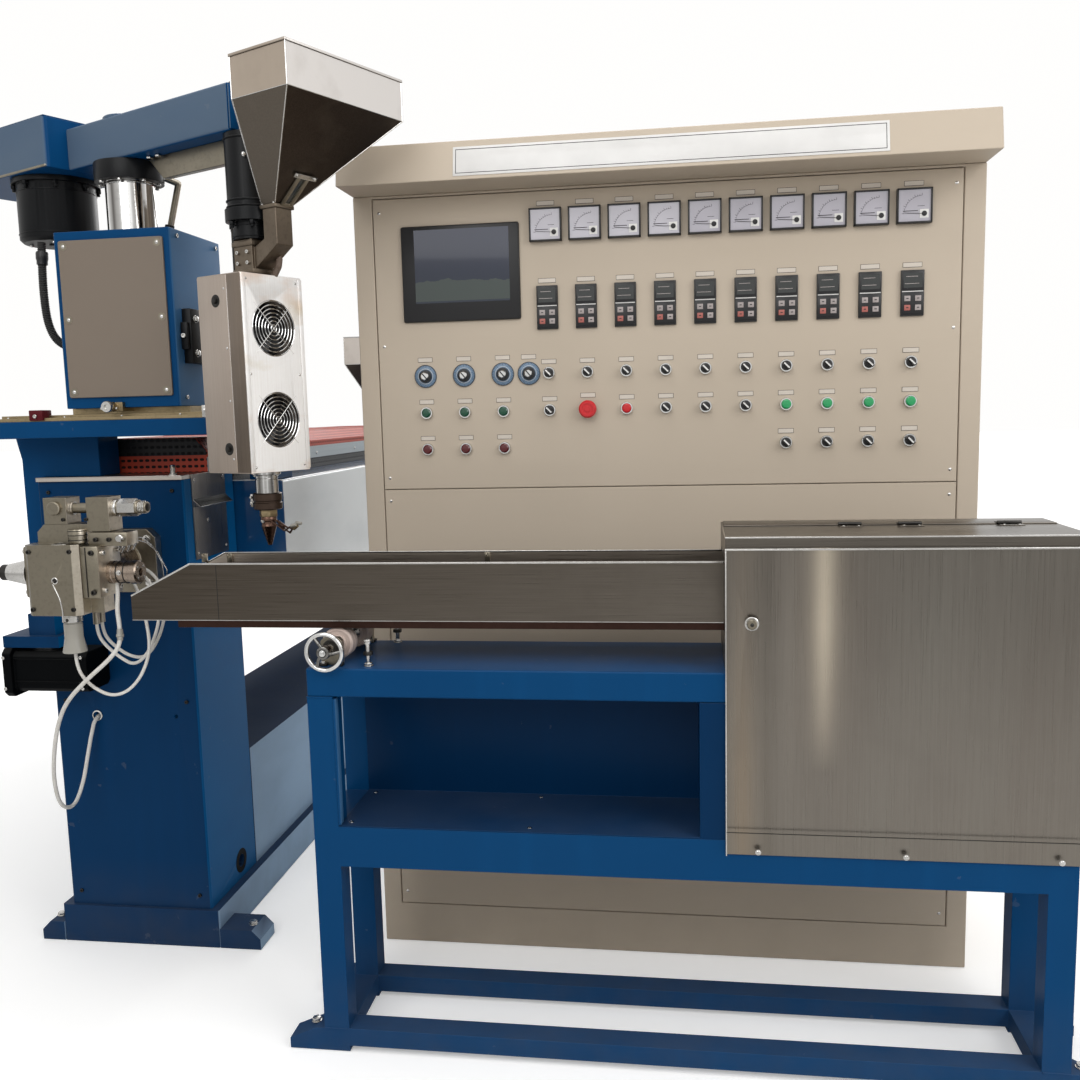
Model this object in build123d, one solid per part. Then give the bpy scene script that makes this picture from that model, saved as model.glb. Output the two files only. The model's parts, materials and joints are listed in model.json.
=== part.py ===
from build123d import *
import os
from math import pi, radians, sin, sqrt, tan

# A cable extrusion line: the extruder with its swing-arm side extruder, its
# control cabinet and its cooling trough with the splash tank on a table.
# Millimetres. +Z is up, +X runs with the product towards the tank, and +Y
# runs back along the extruder. The origin is on the floor, under the middle
# of the front pedestal. Heights follow from the height of the product line.

os.makedirs("parts", exist_ok=True)

line_height = 976

# Base frame and pedestal
pedestal_width = 370
pedestal_front = -70
pedestal_depth = 270
pedestal_rise = 179
pedestal_chamfer = 4
base_height = 95
base_overhang = 22
base_front_lip = 10
base_corner = 6
low_box_width = 345
low_box_height = 320
machine_length = 2960
drive_housing_depth = 640
louvre_count = 5
louvre_pitch = 34
louvre_width = 220
louvre_depth = 9
louvre_height = 10
foot_height = 48
foot_depth = 84
foot_bevel = 22
left_foot_reach = 60
right_foot_reach = 104
rear_foot_inset = 120
cable_hole_x = -77
cable_hole_drop = 572
cable_hole_radius = 7
cable_hole_depth = 30
pin_hole_x = 126
pin_hole_radius = 5
side_hole_y = 108
side_hole_z = 141
side_hole_radius = 17
bolt_hole_depth = 25

# Bed, barrel guard and drive
bed_width = 640
bed_height = 385
bed_drop = 20
bed_chamfer = 5
guard_width = 340
guard_height = 85
guard_offset = 15
guard_front = 60
guard_slope = 30
guard_hopper_gap = 380
drip_thickness = 10
drip_overhang = 6
gearbox_width = 360
gearbox_length = 330
gearbox_height = 300
gearbox_corner = 40
hopper_setback = 210
hopper_height = 385
hopper_size = 350
hopper_band = 120
hopper_wall = 4
hopper_outlet = 77
throat_radius = 55
throat_wall = 12
throat_height = 120

# Barrel end and crosshead
barrel_x = 36
barrel_drop = 8
barrel_radius = 46
flange_width = 168
flange_height = 150
flange_corner = 20
flange_thickness = 28
head_width = 122
head_depth = 120
head_below_line = 84
head_height = 150
head_bevel = 12
sensor_hole_x = 8
sensor_hole_drop = 9
sensor_hole_radius = 5
sensor_hole_depth = 12
step_height = 40
step_inset = 16
step_slope = 16
clamp_block = 52
clamp_inset = 34
clamp_height = 56
clamp_depth = 52
clamp_gap = 45
clamp_far_block = 50
clamp_shaft_drop = 24
clamp_shaft_radius = 11
clamp_bolt_radius = 16
clamp_bolt_length = 56
clamp_nut_radius = 12
clamp_nut_length = 18
bridge_drop = 16
lower_block_depth = 40
lower_block_height = 42
lower_block_length = 30
die_collar_radius = 34
die_collar_length = 26
die_radius = 21
die_length = 62
die_bore_radius = 6
die_cone_radius = 14
die_cone_depth = 12
inlet_radius = 26
inlet_cone_length = 38
inlet_tip_radius = 12
inlet_tube_length = 46
inlet_bore_radius = 4
stud_radius = 7
stud_length = 32
stud_inset = 13
stud_y = 76

# Ceramic plug under the head
plug_x = 60
plug_y = -350
plug_radius = 19
plug_cap_radius = 17
plug_flare_radius = 25
plug_height = 62
plug_cap_height = 12
plug_pin_radius = 3
plug_pin_spacing = 16
plug_pin_length = 8

# Side motor under the crosshead, on its bracket
side_motor_size = 96
side_motor_length = 207
side_motor_right = -35
side_motor_drop = 262
side_motor_corner = 10
side_flange_size = 118
side_flange_thickness = 22
side_flange_corner = 12
bracket_right = -100
bracket_thickness = 27
bracket_stem_left = -184
bracket_stem_width = 67
bracket_stem_height = 50
bracket_stem_depth = 80

# Stainless plate on the pedestal's right side
side_plate_front = -33
side_plate_depth = 176
side_plate_thickness = 4
side_plate_height = 205
ledge_drop = 60
ledge_depth = 18

# Top plate and its supports
plate_front = -160
plate_depth = 330
plate_left = -250
plate_right = 305
plate_gap = 105
plate_thickness = 38
support_front = -40
support_width = 56
support_flare = 12
support_flare_height = 54
support_height = 430
support_depth = 170
web_right = -39
web_depth = 90
rear_support_width = 70
rear_support_depth = 120
rear_support_inset = 20
shelf_height = 80
rail_left_inset = 34
rail_right_inset = 20
rail_width = 13
front_rail_height = 8
rear_rail_height = 14
rail_gap = 6
rail_inset = 6
rail_end_length = 12

# Column box on the plate
column_x = 95
column_y = -50
column_radius = 54
column_bore_clearance = 0.3
column_in_box = 240
column_exposed = 160
collar_radius = 74
collar_height = 42
seat_gap = 0.3
box_width = 276
box_depth = 250
box_back_share = 150
box_corner = 6
saddle_height = 27
saddle_overhang = 6
saddle_setback = 34
rail_clearance = 5
rail_clamp_left = -40
rail_clamp_length = 46
rail_clamp_overhang = 12
rail_clamp_height = 20
rail_knob_radius = 11
rail_knob_length = 16
cover_side_margin = 14
cover_bottom_margin = 24
cover_top_margin = 20
cover_thickness = 6
cover_corner = 5
clamp_bar_y = -118
clamp_bar_width = 88
clamp_bar_thickness = 22
clamp_bar_height = 120
clamp_bar_drop = 174
gland_radius = 14
gland_length = 12
gland_y = -10
gland_drop = 245

# Arm: s runs along the arm from the column axis, t across it
arm_turn = -25.6
arm_height = 93
arm_width = 104
arm_reach = 406
arm_back = 150
arm_corner = 6
gusset_start = 82
gusset_drop = 50
gusset_thickness = 16
belt_box_width = 216
belt_box_length = 420
belt_box_height = 112
belt_box_corner = 12
arm_motor_s = -289
arm_motor_radius = 90
arm_motor_height = 148
arm_motor_flange_radius = 100
arm_motor_flange_thickness = 12
arm_motor_rim = 8
screw_inset = 6
screw_housing_radius = 47
screw_housing_height = 213
screw_flange_radius = 53
screw_flange_height = 26
screw_flange_rise = 36
screw_neck_radius = 38
eye_base_radius = 24
eye_base_height = 10
eye_radius = 21
eye_bar = 8
feed_block_size = 56
feed_block_height = 74
fan_box_back = 17
fan_box_length = 134
fan_box_width = 166
fan_box_height = 408
fan_box_corner = 4
fan_radius = 58
fan_pitch = 190
fan_recess_depth = 30
guard_ring_count = 4
guard_ring_pitch = 14
guard_wire = 3
guard_sides = 16
hub_radius = 20
hub_length = 14
nozzle_length = 160
nozzle_radius = 24
nozzle_clearance = 14
nozzle_clamp_top = 46
nozzle_clamp_bottom = 82
nozzle_clamp_radius = 31
nozzle_neck_radius = 17
nozzle_shoulder = 116
nozzle_tip_radius = 5
arm_hopper_gap = 216
arm_hopper_length = 148
arm_hopper_width = 311
arm_hopper_rise = 91
arm_hopper_band = 80
arm_hopper_outlet_rise = 60
arm_hopper_wall = 3
spout_length = 38
spout_width = 44
spout_gap = 12
chute_lift = 12
chute_inner_height = 44
chute_outer_height = 58

# Control cabinet
cabinet_left = 605
cabinet_width = 1372
cabinet_depth = 480
cabinet_height = 1785
hood_overhang = 118
hood_height = 84
hood_slope = 16
panel_inset = 44
panel_thickness = 8
panel_gap = 2
panel_bottom = 98
panel_top_gap = 6
seam_drop = 665.5
seam_gap = 1
screen_width = 271
screen_height = 213
screen_left = 110
screen_drop = 71.5
screen_border = 22
screen_thickness = 9
screen_glass_depth = 2
screen_corner = 6
meter_size = 72
meter_first = 405
meter_pitch = 87.2
meter_right_margin = 100
meter_drop = 46
meter_thickness = 14
controller_width = 48
controller_height = 96
controller_drop = 213.5
controller_thickness = 10
switch_drop = 406
switch_row_pitch = 83.5
switch_radius = 14
switch_depth = 12
switch_handle = 5
switch_handle_depth = 9
left_first = 155
left_pitch = 90
dial_shift = 60
dial_radius = 26
dial_depth = 5
dial_knob_radius = 13
dial_knob_depth = 18
stop_radius = 20
stop_column = 1
lit_columns = 4
button_sides = 8
dial_sides = 12

# Trough table
table_drop = 171.5
table_left = 609
table_length = 1442
table_front = -449
table_depth = 254
tube_size = 52
top_rail_height = 57.5
top_sheet = 3
mid_rail_bottom = 398
mid_rail_height = 83
bottom_rail_bottom = 12
bottom_rail_height = 38
table_foot_reach = 76
table_foot_height = 48
table_foot_toe = 22
table_foot_flat = 18
mullion_left = 764
tray_thickness = 3
tray_depth = 200

# Splash tank
tank_left = 1421
tank_height = 233.5
tank_wall = 3
front_panel_drop = 349.5
front_panel_thickness = 4
panel_knob_x = 47
panel_knob_drop = 137
panel_knob_radius = 9
panel_knob_length = 12
lid_depth = 166
lid_thickness = 3
lid_gap = 3
lid_rise = 20
lid_clearance = 0.4
port_clearance = 6
support_ledge_inset = 40
support_ledge_length = 60
support_ledge_thickness = 6
support_ledge_margin = 20
support_post_length = 30
support_post_margin = 50

# Trough and its roller drive
trough_inset = 49
trough_width = 165
trough_below_line = 87
trough_height = 117
trough_wall = 3
trough_tip = 225
trough_full = 359
trough_tip_height = 51
trough_reach = 279
rail_bar_height = 16
rail_bar_start = 95
rail_bar_end = 60
rail_bar_inset = 8
roller_offset = 46
roller_radius = 32
roller_width = 36
roller_inset = 12
roller_gap = 0.4
handwheel_radius = 40
rim_radius = 5
rim_sides = 24
rim_bevel = 3
hub_wheel_radius = 14
hub_wheel_length = 20
spoke_width = 9
spoke_thickness = 6
spoke_count = 3
shaft_radius = 9
shaft_front_overhang = 26
shaft_back_inset = 8
bracket_half_width = 22
bracket_plate = 14
bracket_side_gap = 10
bracket_above_shaft = 20
shaft_clearance = 0.3

# Leads of glass-fibre sleeve under the crosshead, and the conduit
long_lead_radius = 4.5
lead_radius = 3.5
sensor_lead_radius = 1.5
conduit_radius = 10
bend_share = 0.45
lead_sides = 6

# Heights and places that follow from the sizes above
pedestal_top = line_height + pedestal_rise
pedestal_half = pedestal_width / 2
pedestal_back = pedestal_front + pedestal_depth
machine_front = pedestal_front - base_front_lip
machine_back = machine_front + machine_length
bed_top = pedestal_top - bed_drop
bed_bottom = bed_top - bed_height
drip_top = pedestal_top + drip_thickness
guard_left = guard_offset - guard_width / 2
guard_right = guard_offset + guard_width / 2
hopper_centre_y = machine_back - gearbox_length - hopper_setback
trough_front = table_front + trough_inset
trough_back = trough_front + trough_width
trough_bottom = line_height - trough_below_line
trough_top = trough_bottom + trough_height
trough_end = tank_left + trough_reach
line_y = trough_front + trough_width / 2
barrel_z = line_height - barrel_drop
head_front = line_y - head_depth / 2
head_back = line_y + head_depth / 2
head_left = barrel_x - head_width / 2
head_right = barrel_x + head_width / 2
head_bottom = line_height - head_below_line
head_top = head_bottom + head_height
plate_bottom = pedestal_top + plate_gap
plate_top = plate_bottom + plate_thickness
fan_box_bottom = trough_top + nozzle_clearance + nozzle_length
fan_box_top = fan_box_bottom + fan_box_height
screw_housing_bottom = fan_box_top + feed_block_height
arm_bottom = screw_housing_bottom + screw_housing_height
arm_top = arm_bottom + arm_height
box_bottom = plate_top + saddle_height
box_top = arm_bottom - column_exposed
box_front = column_y + box_back_share - box_depth
box_left = column_x - box_width / 2
box_right = column_x + box_width / 2
screw_s = arm_reach - screw_inset
fan_box_s = screw_s - fan_box_back
arm_hopper_s = screw_s + arm_hopper_gap
arm_hopper_bottom = screw_housing_bottom + arm_hopper_outlet_rise
arm_hopper_top = arm_bottom + arm_hopper_rise
cabinet_right = cabinet_left + cabinet_width
hood_top = cabinet_height + hood_height
panel_seam = cabinet_height - seam_drop
table_height = line_height - table_drop
table_right = table_left + table_length
table_back = table_front + table_depth
table_frame_bottom = table_height - top_rail_height
mid_rail_top = mid_rail_bottom + mid_rail_height
tank_top = table_height + tank_height
front_panel_face = table_front - front_panel_thickness
lid_seam = front_panel_face + lid_depth
lid_top = tank_top + lid_rise
rail_bar_bottom = trough_bottom - rail_bar_height
roller_x = table_left + roller_offset
roller_z = rail_bar_bottom - roller_gap - roller_radius
shaft_front = table_front - shaft_front_overhang
shaft_back = table_back - shaft_back_inset


def write(name, *solids):
    """Write the solids of one node to its own file."""
    shape = solids[0] if len(solids) == 1 else Compound(children=list(solids))
    export_step(shape, "parts/" + name + ".step")
    print(name, round(sum(s.volume for s in solids) / 1e6, 3), "litres")


def block(x0, x1, y0, y1, z0, z1):
    """A box between two corners."""
    size = (x1 - x0, y1 - y0, z1 - z0)
    return Pos((x0 + x1) / 2, (y0 + y1) / 2, (z0 + z1) / 2) * Box(*size)


def rod(radius, length, start, direction):
    """A cylinder from start along direction."""
    return extrude(Plane(origin=start, z_dir=direction) * Circle(radius), length)


def plate_outline(points, plane, thickness, start):
    """A closed outline on a plane through start, extruded along its normal."""
    outline = make_face(Polyline(*points, close=True))
    return extrude(Plane(origin=start, x_dir=plane.x_dir, z_dir=plane.z_dir) * outline, thickness)


def hopper_form(size_x, size_y, outlet_x, outlet_y, bottom, band_bottom, top, shift):
    """A pyramid under a straight band: two trapezoids crossed."""
    side = [
        (-size_x / 2, top),
        (-size_x / 2, band_bottom),
        (shift - outlet_x / 2, bottom),
        (shift + outlet_x / 2, bottom),
        (size_x / 2, band_bottom),
        (size_x / 2, top),
    ]
    end = [
        (-size_y / 2, top),
        (-size_y / 2, band_bottom),
        (-outlet_y / 2, bottom),
        (outlet_y / 2, bottom),
        (size_y / 2, band_bottom),
        (size_y / 2, top),
    ]
    near = min(-size_x / 2, shift - outlet_x / 2)
    far = max(size_x / 2, shift + outlet_x / 2)
    along_y = plate_outline(side, Plane.XZ, size_y, (0, size_y / 2, 0))
    along_x = plate_outline(end, Plane.YZ, far - near, (near, 0, 0))
    return along_y & along_x


def hopper_shell(size_x, size_y, outlet_x, outlet_y, bottom, band_bottom, top, shift, wall):
    """A hopper of sheet, open at the top and at its outlet."""
    outer = hopper_form(size_x, size_y, outlet_x, outlet_y, bottom, band_bottom, top, shift)
    lost = 2 * wall
    inner = hopper_form(
        size_x - lost, size_y - lost, outlet_x - lost, outlet_y - lost, bottom, band_bottom, top, shift
    )
    return outer - inner


# Base frame, pedestals and bed
def foot(side, reach):
    """A floor bracket beside the base, bevelled at its outer end."""
    inner = side * (pedestal_half + base_overhang)
    outer = inner + side * reach
    outline = [
        (inner, 0),
        (outer, 0),
        (outer, foot_height - foot_bevel),
        (outer - side * foot_bevel, foot_height),
        (inner, foot_height),
    ]
    return plate_outline(outline, Plane.XZ, foot_depth, (0, machine_front + foot_depth, 0))


def base_frame():
    """The floor beam, the low box behind the pedestal and the drive housing."""
    beam_half = pedestal_half + base_overhang
    beam = block(-beam_half, beam_half, machine_front, machine_back, 0, base_height)
    frame = fillet(beam.edges().filter_by(Axis.Z), base_corner)
    low_left = pedestal_half - low_box_width
    low_top = base_height + low_box_height
    frame += block(low_left, pedestal_half, pedestal_back, machine_back, base_height, low_top)
    housing_front = machine_back - drive_housing_depth
    frame += block(low_left, pedestal_half, housing_front, machine_back, low_top, bed_bottom)
    rear_shift = Pos(0, machine_length - foot_depth - rear_foot_inset, 0)
    for side, reach in ((-1, left_foot_reach), (1, right_foot_reach)):
        frame += foot(side, reach)
        frame += rear_shift * foot(side, left_foot_reach)
    centre = low_left + low_box_width / 2
    first = (low_top + bed_bottom - (louvre_count - 1) * louvre_pitch - louvre_height) / 2
    for index in range(louvre_count):
        z = first + index * louvre_pitch
        half = louvre_width / 2
        louvre = block(centre - half, centre + half, 0, louvre_depth + 1, z, z + louvre_height)
        frame -= Pos(0, machine_back - louvre_depth, 0) * louvre
    return frame


def front_pedestal():
    """The pedestal with the bracket that carries the side motor."""
    body = block(-pedestal_half, pedestal_half, pedestal_front, pedestal_back, base_height, pedestal_top)
    body = chamfer(body.edges().filter_by(Axis.Z), pedestal_chamfer)
    side_start = (pedestal_half + 1, side_hole_y, side_hole_z)
    body -= rod(side_hole_radius, bolt_hole_depth, side_start, (-1, 0, 0))
    hole_z = pedestal_top - cable_hole_drop
    body -= rod(cable_hole_radius, cable_hole_depth, (cable_hole_x, pedestal_front, hole_z), (0, 1, 0))
    body -= rod(pin_hole_radius, bolt_hole_depth, (pin_hole_x, pedestal_front, hole_z), (0, 1, 0))
    bracket_bottom = line_height - side_motor_drop + side_flange_size / 2
    bracket_top = bracket_bottom + bracket_thickness
    bracket_left = side_motor_right - side_motor_length
    bracket_front = pedestal_front - side_motor_size
    bracket = block(bracket_left, bracket_right, bracket_front, pedestal_front, bracket_bottom, bracket_top)
    stem_left = bracket_stem_left
    stem = block(
        stem_left,
        stem_left + bracket_stem_width,
        pedestal_front - bracket_stem_depth,
        pedestal_front,
        bracket_top,
        bracket_top + bracket_stem_height,
    )
    return body + bracket + stem


def drip_plate():
    half = pedestal_half
    return block(-half, half, pedestal_front - drip_overhang, pedestal_back, pedestal_top, drip_top)


def side_plate():
    """A stainless splash plate on the pedestal's side, with a sloping ledge."""
    top = drip_top
    bottom = top - side_plate_height
    outer = pedestal_half + side_plate_thickness
    back = side_plate_front + side_plate_depth
    sheet = block(pedestal_half, outer, side_plate_front, back, bottom, top)
    ledge_top = top - ledge_drop
    ledge_bottom = ledge_top - ledge_depth
    ledge = [(outer, ledge_top), (outer + ledge_depth, ledge_bottom), (outer, ledge_bottom)]
    return sheet + plate_outline(ledge, Plane.XZ, side_plate_depth, (0, back, 0))


def machine_bed():
    half = bed_width / 2
    bed = block(-half, half, pedestal_back, machine_back, bed_bottom, bed_top)
    return chamfer(bed.edges().filter_by(Axis.Y), bed_chamfer)


def barrel_guard():
    """The cover over the barrel and its heaters."""
    back = hopper_centre_y - guard_hopper_gap
    hood = block(guard_left, guard_right, guard_front, back, drip_top, drip_top + guard_height)
    hood = chamfer(hood.edges().filter_by(Axis.Y).group_by(Axis.Z)[-1], guard_slope)
    return hood + block(guard_left, guard_right, pedestal_back, back, bed_top, drip_top)


def gearbox():
    half = gearbox_width / 2
    front = machine_back - gearbox_length
    box = block(-half, half, front, machine_back, bed_top, bed_top + gearbox_height)
    return fillet(box.edges().filter_by(Axis.Y).group_by(Axis.Z)[-1], gearbox_corner)


def feed_throat():
    """The feed throat stands on the bed behind the guard."""
    foot_point = (guard_offset, hopper_centre_y, bed_top)
    outer = rod(throat_radius, throat_height, foot_point, (0, 0, 1))
    return outer - rod(throat_radius - throat_wall, throat_height, foot_point, (0, 0, 1))


def main_hopper():
    bottom = bed_top + throat_height
    top = bottom + hopper_height
    outlet = hopper_outlet
    size = hopper_size
    shell = hopper_shell(size, size, outlet, outlet, bottom, top - hopper_band, top, 0, hopper_wall)
    return Pos(guard_offset, hopper_centre_y, 0) * shell


# Crosshead, clamp, fittings and side motor
def barrel_end():
    """The end of the main barrel, out of its flange on the pedestal."""
    half_width = flange_width / 2
    half_height = flange_height / 2
    flange = block(
        barrel_x - half_width,
        barrel_x + half_width,
        pedestal_front - flange_thickness,
        pedestal_front,
        barrel_z - half_height,
        barrel_z + half_height,
    )
    flange = chamfer(flange.edges().filter_by(Axis.Y), flange_corner)
    pipe_start = (barrel_x, pedestal_front - flange_thickness, barrel_z)
    pipe = rod(barrel_radius, pedestal_front - flange_thickness - head_back, pipe_start, (0, -1, 0))
    return flange + pipe


def head_body():
    """The crosshead block, with a stepped top and a boss and block at its side."""
    body = block(head_left, head_right, head_front, head_back, head_bottom, head_top)
    body = chamfer(body.edges().filter_by(Axis.Z), head_bevel)
    step_left = head_left + step_inset
    step_right = head_right - head_bevel
    step_top = head_top + step_height
    step = [
        (step_left, head_top),
        (step_right, head_top),
        (step_right, step_top),
        (step_left + step_slope, step_top),
        (step_left, step_top - step_slope),
    ]
    body += plate_outline(step, Plane.XZ, clamp_depth, (0, line_y + clamp_depth / 2, 0))
    lower_front = line_y - lower_block_depth / 2
    body += block(
        head_right,
        head_right + lower_block_length,
        lower_front,
        lower_front + lower_block_depth,
        head_bottom,
        head_bottom + lower_block_height,
    )
    for index in range(2):
        stud = (head_right - stud_inset, head_front + stud_y + index * 3 * stud_radius, head_bottom)
        body += rod(stud_radius, stud_length, stud, (0, 0, -1))
    hole = (barrel_x + sensor_hole_x, head_front, line_height - sensor_hole_drop)
    return body - rod(sensor_hole_radius, sensor_hole_depth, hole, (0, 1, 0))


def head_clamp():
    """Two blocks over the head, drawn together by a shaft and a long bolt."""
    bottom = head_top + step_height
    top = bottom + clamp_height
    left = head_left + clamp_inset
    y0 = line_y - clamp_depth / 2
    y1 = line_y + clamp_depth / 2
    axis_z = top - clamp_shaft_drop
    inner = left + clamp_block
    outer = inner + clamp_gap
    far = outer + clamp_far_block
    seat_left = head_right - head_bevel
    near_block = block(left, inner, y0, y1, bottom, top)
    far_block = block(outer, far, y0, y1, bottom, top)
    bridge = block(seat_left, far, y0, y1, bottom - bridge_drop, bottom)
    shaft = rod(clamp_shaft_radius, clamp_gap, (inner, line_y, axis_z), (1, 0, 0))
    bolt = rod(clamp_bolt_radius, clamp_bolt_length, (far, line_y, axis_z), (1, 0, 0))
    nut_start = (far + clamp_bolt_length, line_y, axis_z)
    nut = rod(clamp_nut_radius, clamp_nut_length, nut_start, (1, 0, 0))
    return near_block + far_block + bridge + shaft + bolt + nut


def turned_about_x(points, start_x):
    """A piece turned about the product line, from (distance along X, radius) points."""
    outline = make_face(Polyline(*points, close=True))
    turned = revolve(Plane.XY * outline, Axis.X)
    return Pos(start_x, line_y, line_height) * turned


def head_fittings():
    """The wire inlet and the die nut, on the line at each side of the head."""
    bore = inlet_bore_radius
    cone_end = -inlet_cone_length
    tube_end = cone_end - inlet_tube_length
    inlet = [
        (0, bore),
        (0, inlet_radius),
        (cone_end, inlet_tip_radius),
        (tube_end, inlet_tip_radius),
        (tube_end, bore),
    ]
    die = [
        (0, die_bore_radius),
        (0, die_collar_radius),
        (die_collar_length, die_collar_radius),
        (die_collar_length, die_radius),
        (die_length, die_radius),
        (die_length, die_cone_radius),
        (die_length - die_cone_depth, die_bore_radius),
    ]
    return turned_about_x(inlet, head_left), turned_about_x(die, head_right)


def ceramic_plug():
    """The plug of the head's heater, hung from two pins."""
    cap_top = head_bottom - plug_pin_length
    plug_bottom = cap_top - plug_cap_height - plug_height
    neck_bottom = cap_top - plug_cap_height - plug_height / 2
    outline = [
        (0, plug_bottom),
        (plug_flare_radius, plug_bottom),
        (plug_radius, neck_bottom),
        (plug_radius, cap_top - plug_cap_height),
        (plug_cap_radius, cap_top - plug_cap_height),
        (plug_cap_radius, cap_top),
        (0, cap_top),
    ]
    plug = revolve(Plane.XZ * make_face(Polyline(*outline, close=True)), Axis.Z)
    pin = extrude(RegularPolygon(plug_pin_radius, 8), plug_pin_length)
    for side in (-1, 1):
        plug += Pos(side * plug_pin_spacing / 2, 0, cap_top) * pin
    return Pos(plug_x, plug_y, 0) * plug


def side_motor():
    """The small motor beside the pedestal, its flange at the far end."""
    half = side_motor_size / 2
    y = pedestal_front - half
    z = line_height - side_motor_drop
    left = side_motor_right - side_motor_length
    shoulder = left + side_flange_thickness
    body = block(shoulder, side_motor_right, y - half, y + half, z - half, z + half)
    body = chamfer(body.edges().filter_by(Axis.X), side_motor_corner)
    flange_half = side_flange_size / 2
    flange = block(left, shoulder, y - flange_half, y + half, z - flange_half, z + flange_half)
    return body + chamfer(flange.edges().filter_by(Axis.X), side_flange_corner)


# Top plate, its supports and the column box
def plate_supports():
    """A welded support on the pedestal's left side and one on the bed at the right."""
    outer = -pedestal_half - support_width
    foot_z = plate_bottom - support_height
    outline = [
        (-pedestal_half, foot_z),
        (-pedestal_half, plate_bottom),
        (outer - support_flare, plate_bottom),
        (outer, plate_bottom - support_flare_height),
        (outer, foot_z),
    ]
    left = plate_outline(outline, Plane.XZ, support_depth, (0, support_front + support_depth, 0))
    web_back = support_front + web_depth
    left += block(-pedestal_half, web_right, support_front, web_back, drip_top, plate_bottom)
    right_edge = bed_width / 2 - rear_support_inset
    left_edge = right_edge - rear_support_width
    plate_back = plate_front + plate_depth
    column_back = pedestal_back + rear_support_depth
    column = block(left_edge, right_edge, pedestal_back, column_back, bed_top, plate_bottom)
    shelf_front = plate_back - rear_support_depth
    shelf_bottom = plate_bottom - shelf_height
    shelf = block(left_edge, right_edge, shelf_front, pedestal_back, shelf_bottom, plate_bottom)
    return left, column + shelf


def top_plate():
    plate = block(plate_left, plate_right, plate_front, plate_front + plate_depth, plate_bottom, plate_top)
    front_edges = plate.edges().filter_by(Axis.Z).group_by(Axis.Y)[0]
    return fillet(front_edges, plate_thickness / 2)


def guide_rail():
    """Two brass strips along the front of the plate, with a stop block at their end."""
    left = plate_left + rail_left_inset
    right = plate_right - rail_right_inset
    strips = []
    y = plate_front + rail_inset
    for height in (front_rail_height, rear_rail_height):
        strips.append(block(left, right, y, y + rail_width, plate_top, plate_top + height))
        y += rail_width + rail_gap
    rail_front = plate_front + rail_inset
    stop_top = plate_top + rear_rail_height
    stop = block(right, right + rail_end_length, rail_front, y, plate_top, stop_top)
    return strips[0] + strips[1] + stop


def column_saddle():
    """The slide under the column box, with the clamp that locks it to the rail."""
    left = box_left - saddle_overhang
    right = box_right + saddle_overhang
    saddle = block(left, right, box_front + saddle_setback, box_front + box_depth, plate_top, box_bottom)
    clamp_bottom = plate_top + rear_rail_height + rail_clearance
    clamp_left = column_x + rail_clamp_left
    clamp_right = clamp_left + rail_clamp_length
    clamp = block(clamp_left, clamp_right, box_front, box_front + saddle_setback, clamp_bottom, box_bottom)
    jaw_front = box_front - rail_clamp_overhang
    jaw = block(clamp_left, clamp_right, jaw_front, box_front, clamp_bottom, clamp_bottom + rail_clamp_height)
    knob_start = ((clamp_left + clamp_right) / 2, jaw_front, clamp_bottom + rail_clamp_height / 2)
    return saddle + clamp + jaw + rod(rail_knob_radius, rail_knob_length, knob_start, (0, -1, 0))


def column_box():
    """The hollow box that the column rises from, with a clamp bar and a conduit gland."""
    box = block(box_left, box_right, box_front, box_front + box_depth, box_bottom, box_top)
    box = fillet(box.edges().filter_by(Axis.Z), box_corner)
    bar_top = box_top - clamp_bar_drop
    box += block(
        box_right,
        box_right + clamp_bar_thickness,
        clamp_bar_y,
        clamp_bar_y + clamp_bar_width,
        bar_top - clamp_bar_height,
        bar_top,
    )
    box += rod(gland_radius, gland_length, (box_left, gland_y, box_top - gland_drop), (-1, 0, 0))
    bore = (column_x, column_y, box_top + 1)
    return box - rod(column_radius + column_bore_clearance, column_in_box + 1, bore, (0, 0, -1))


def box_cover():
    left = box_left + cover_side_margin
    right = box_right - cover_side_margin
    bottom = box_bottom + cover_bottom_margin
    top = box_top - cover_top_margin
    cover = block(left, right, box_front - cover_thickness, box_front, bottom, top)
    return fillet(cover.edges().filter_by(Axis.Y), cover_corner)


# Arm parts in the arm's own frame, turned into place
arm_place = Pos(column_x, column_y, 0) * Rot(0, 0, arm_turn)


def lift_column():
    """The chrome column with the collar that the arm turns on."""
    bottom = box_top - column_in_box + seat_gap
    collar_bottom = arm_bottom - collar_height
    shaft = rod(column_radius, collar_bottom - bottom, (column_x, column_y, bottom), (0, 0, 1))
    collar = rod(collar_radius, collar_height - seat_gap, (column_x, column_y, collar_bottom), (0, 0, 1))
    return shaft + collar


def swing_arm():
    half = arm_width / 2
    beam = block(-arm_back, arm_reach, -half, half, arm_bottom, arm_top)
    return arm_place * fillet(beam.edges().filter_by(Axis.X), arm_corner)


def arm_gusset():
    """The stiffening plate under the arm, from the collar to the screw housing."""
    half = gusset_thickness / 2
    end = screw_s - screw_housing_radius
    outline = [
        (gusset_start, arm_bottom),
        (gusset_start + gusset_drop, arm_bottom - gusset_drop),
        (end, arm_bottom - gusset_drop),
        (end, arm_bottom),
    ]
    return arm_place * plate_outline(outline, Plane.XZ, gusset_thickness, (0, half, 0))


def belt_box():
    half = belt_box_width / 2
    back = -arm_back - belt_box_length
    box = block(back, -arm_back, -half, half, arm_bottom, arm_bottom + belt_box_height)
    return arm_place * fillet(box.edges().filter_by(Axis.Z), belt_box_corner)


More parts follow.
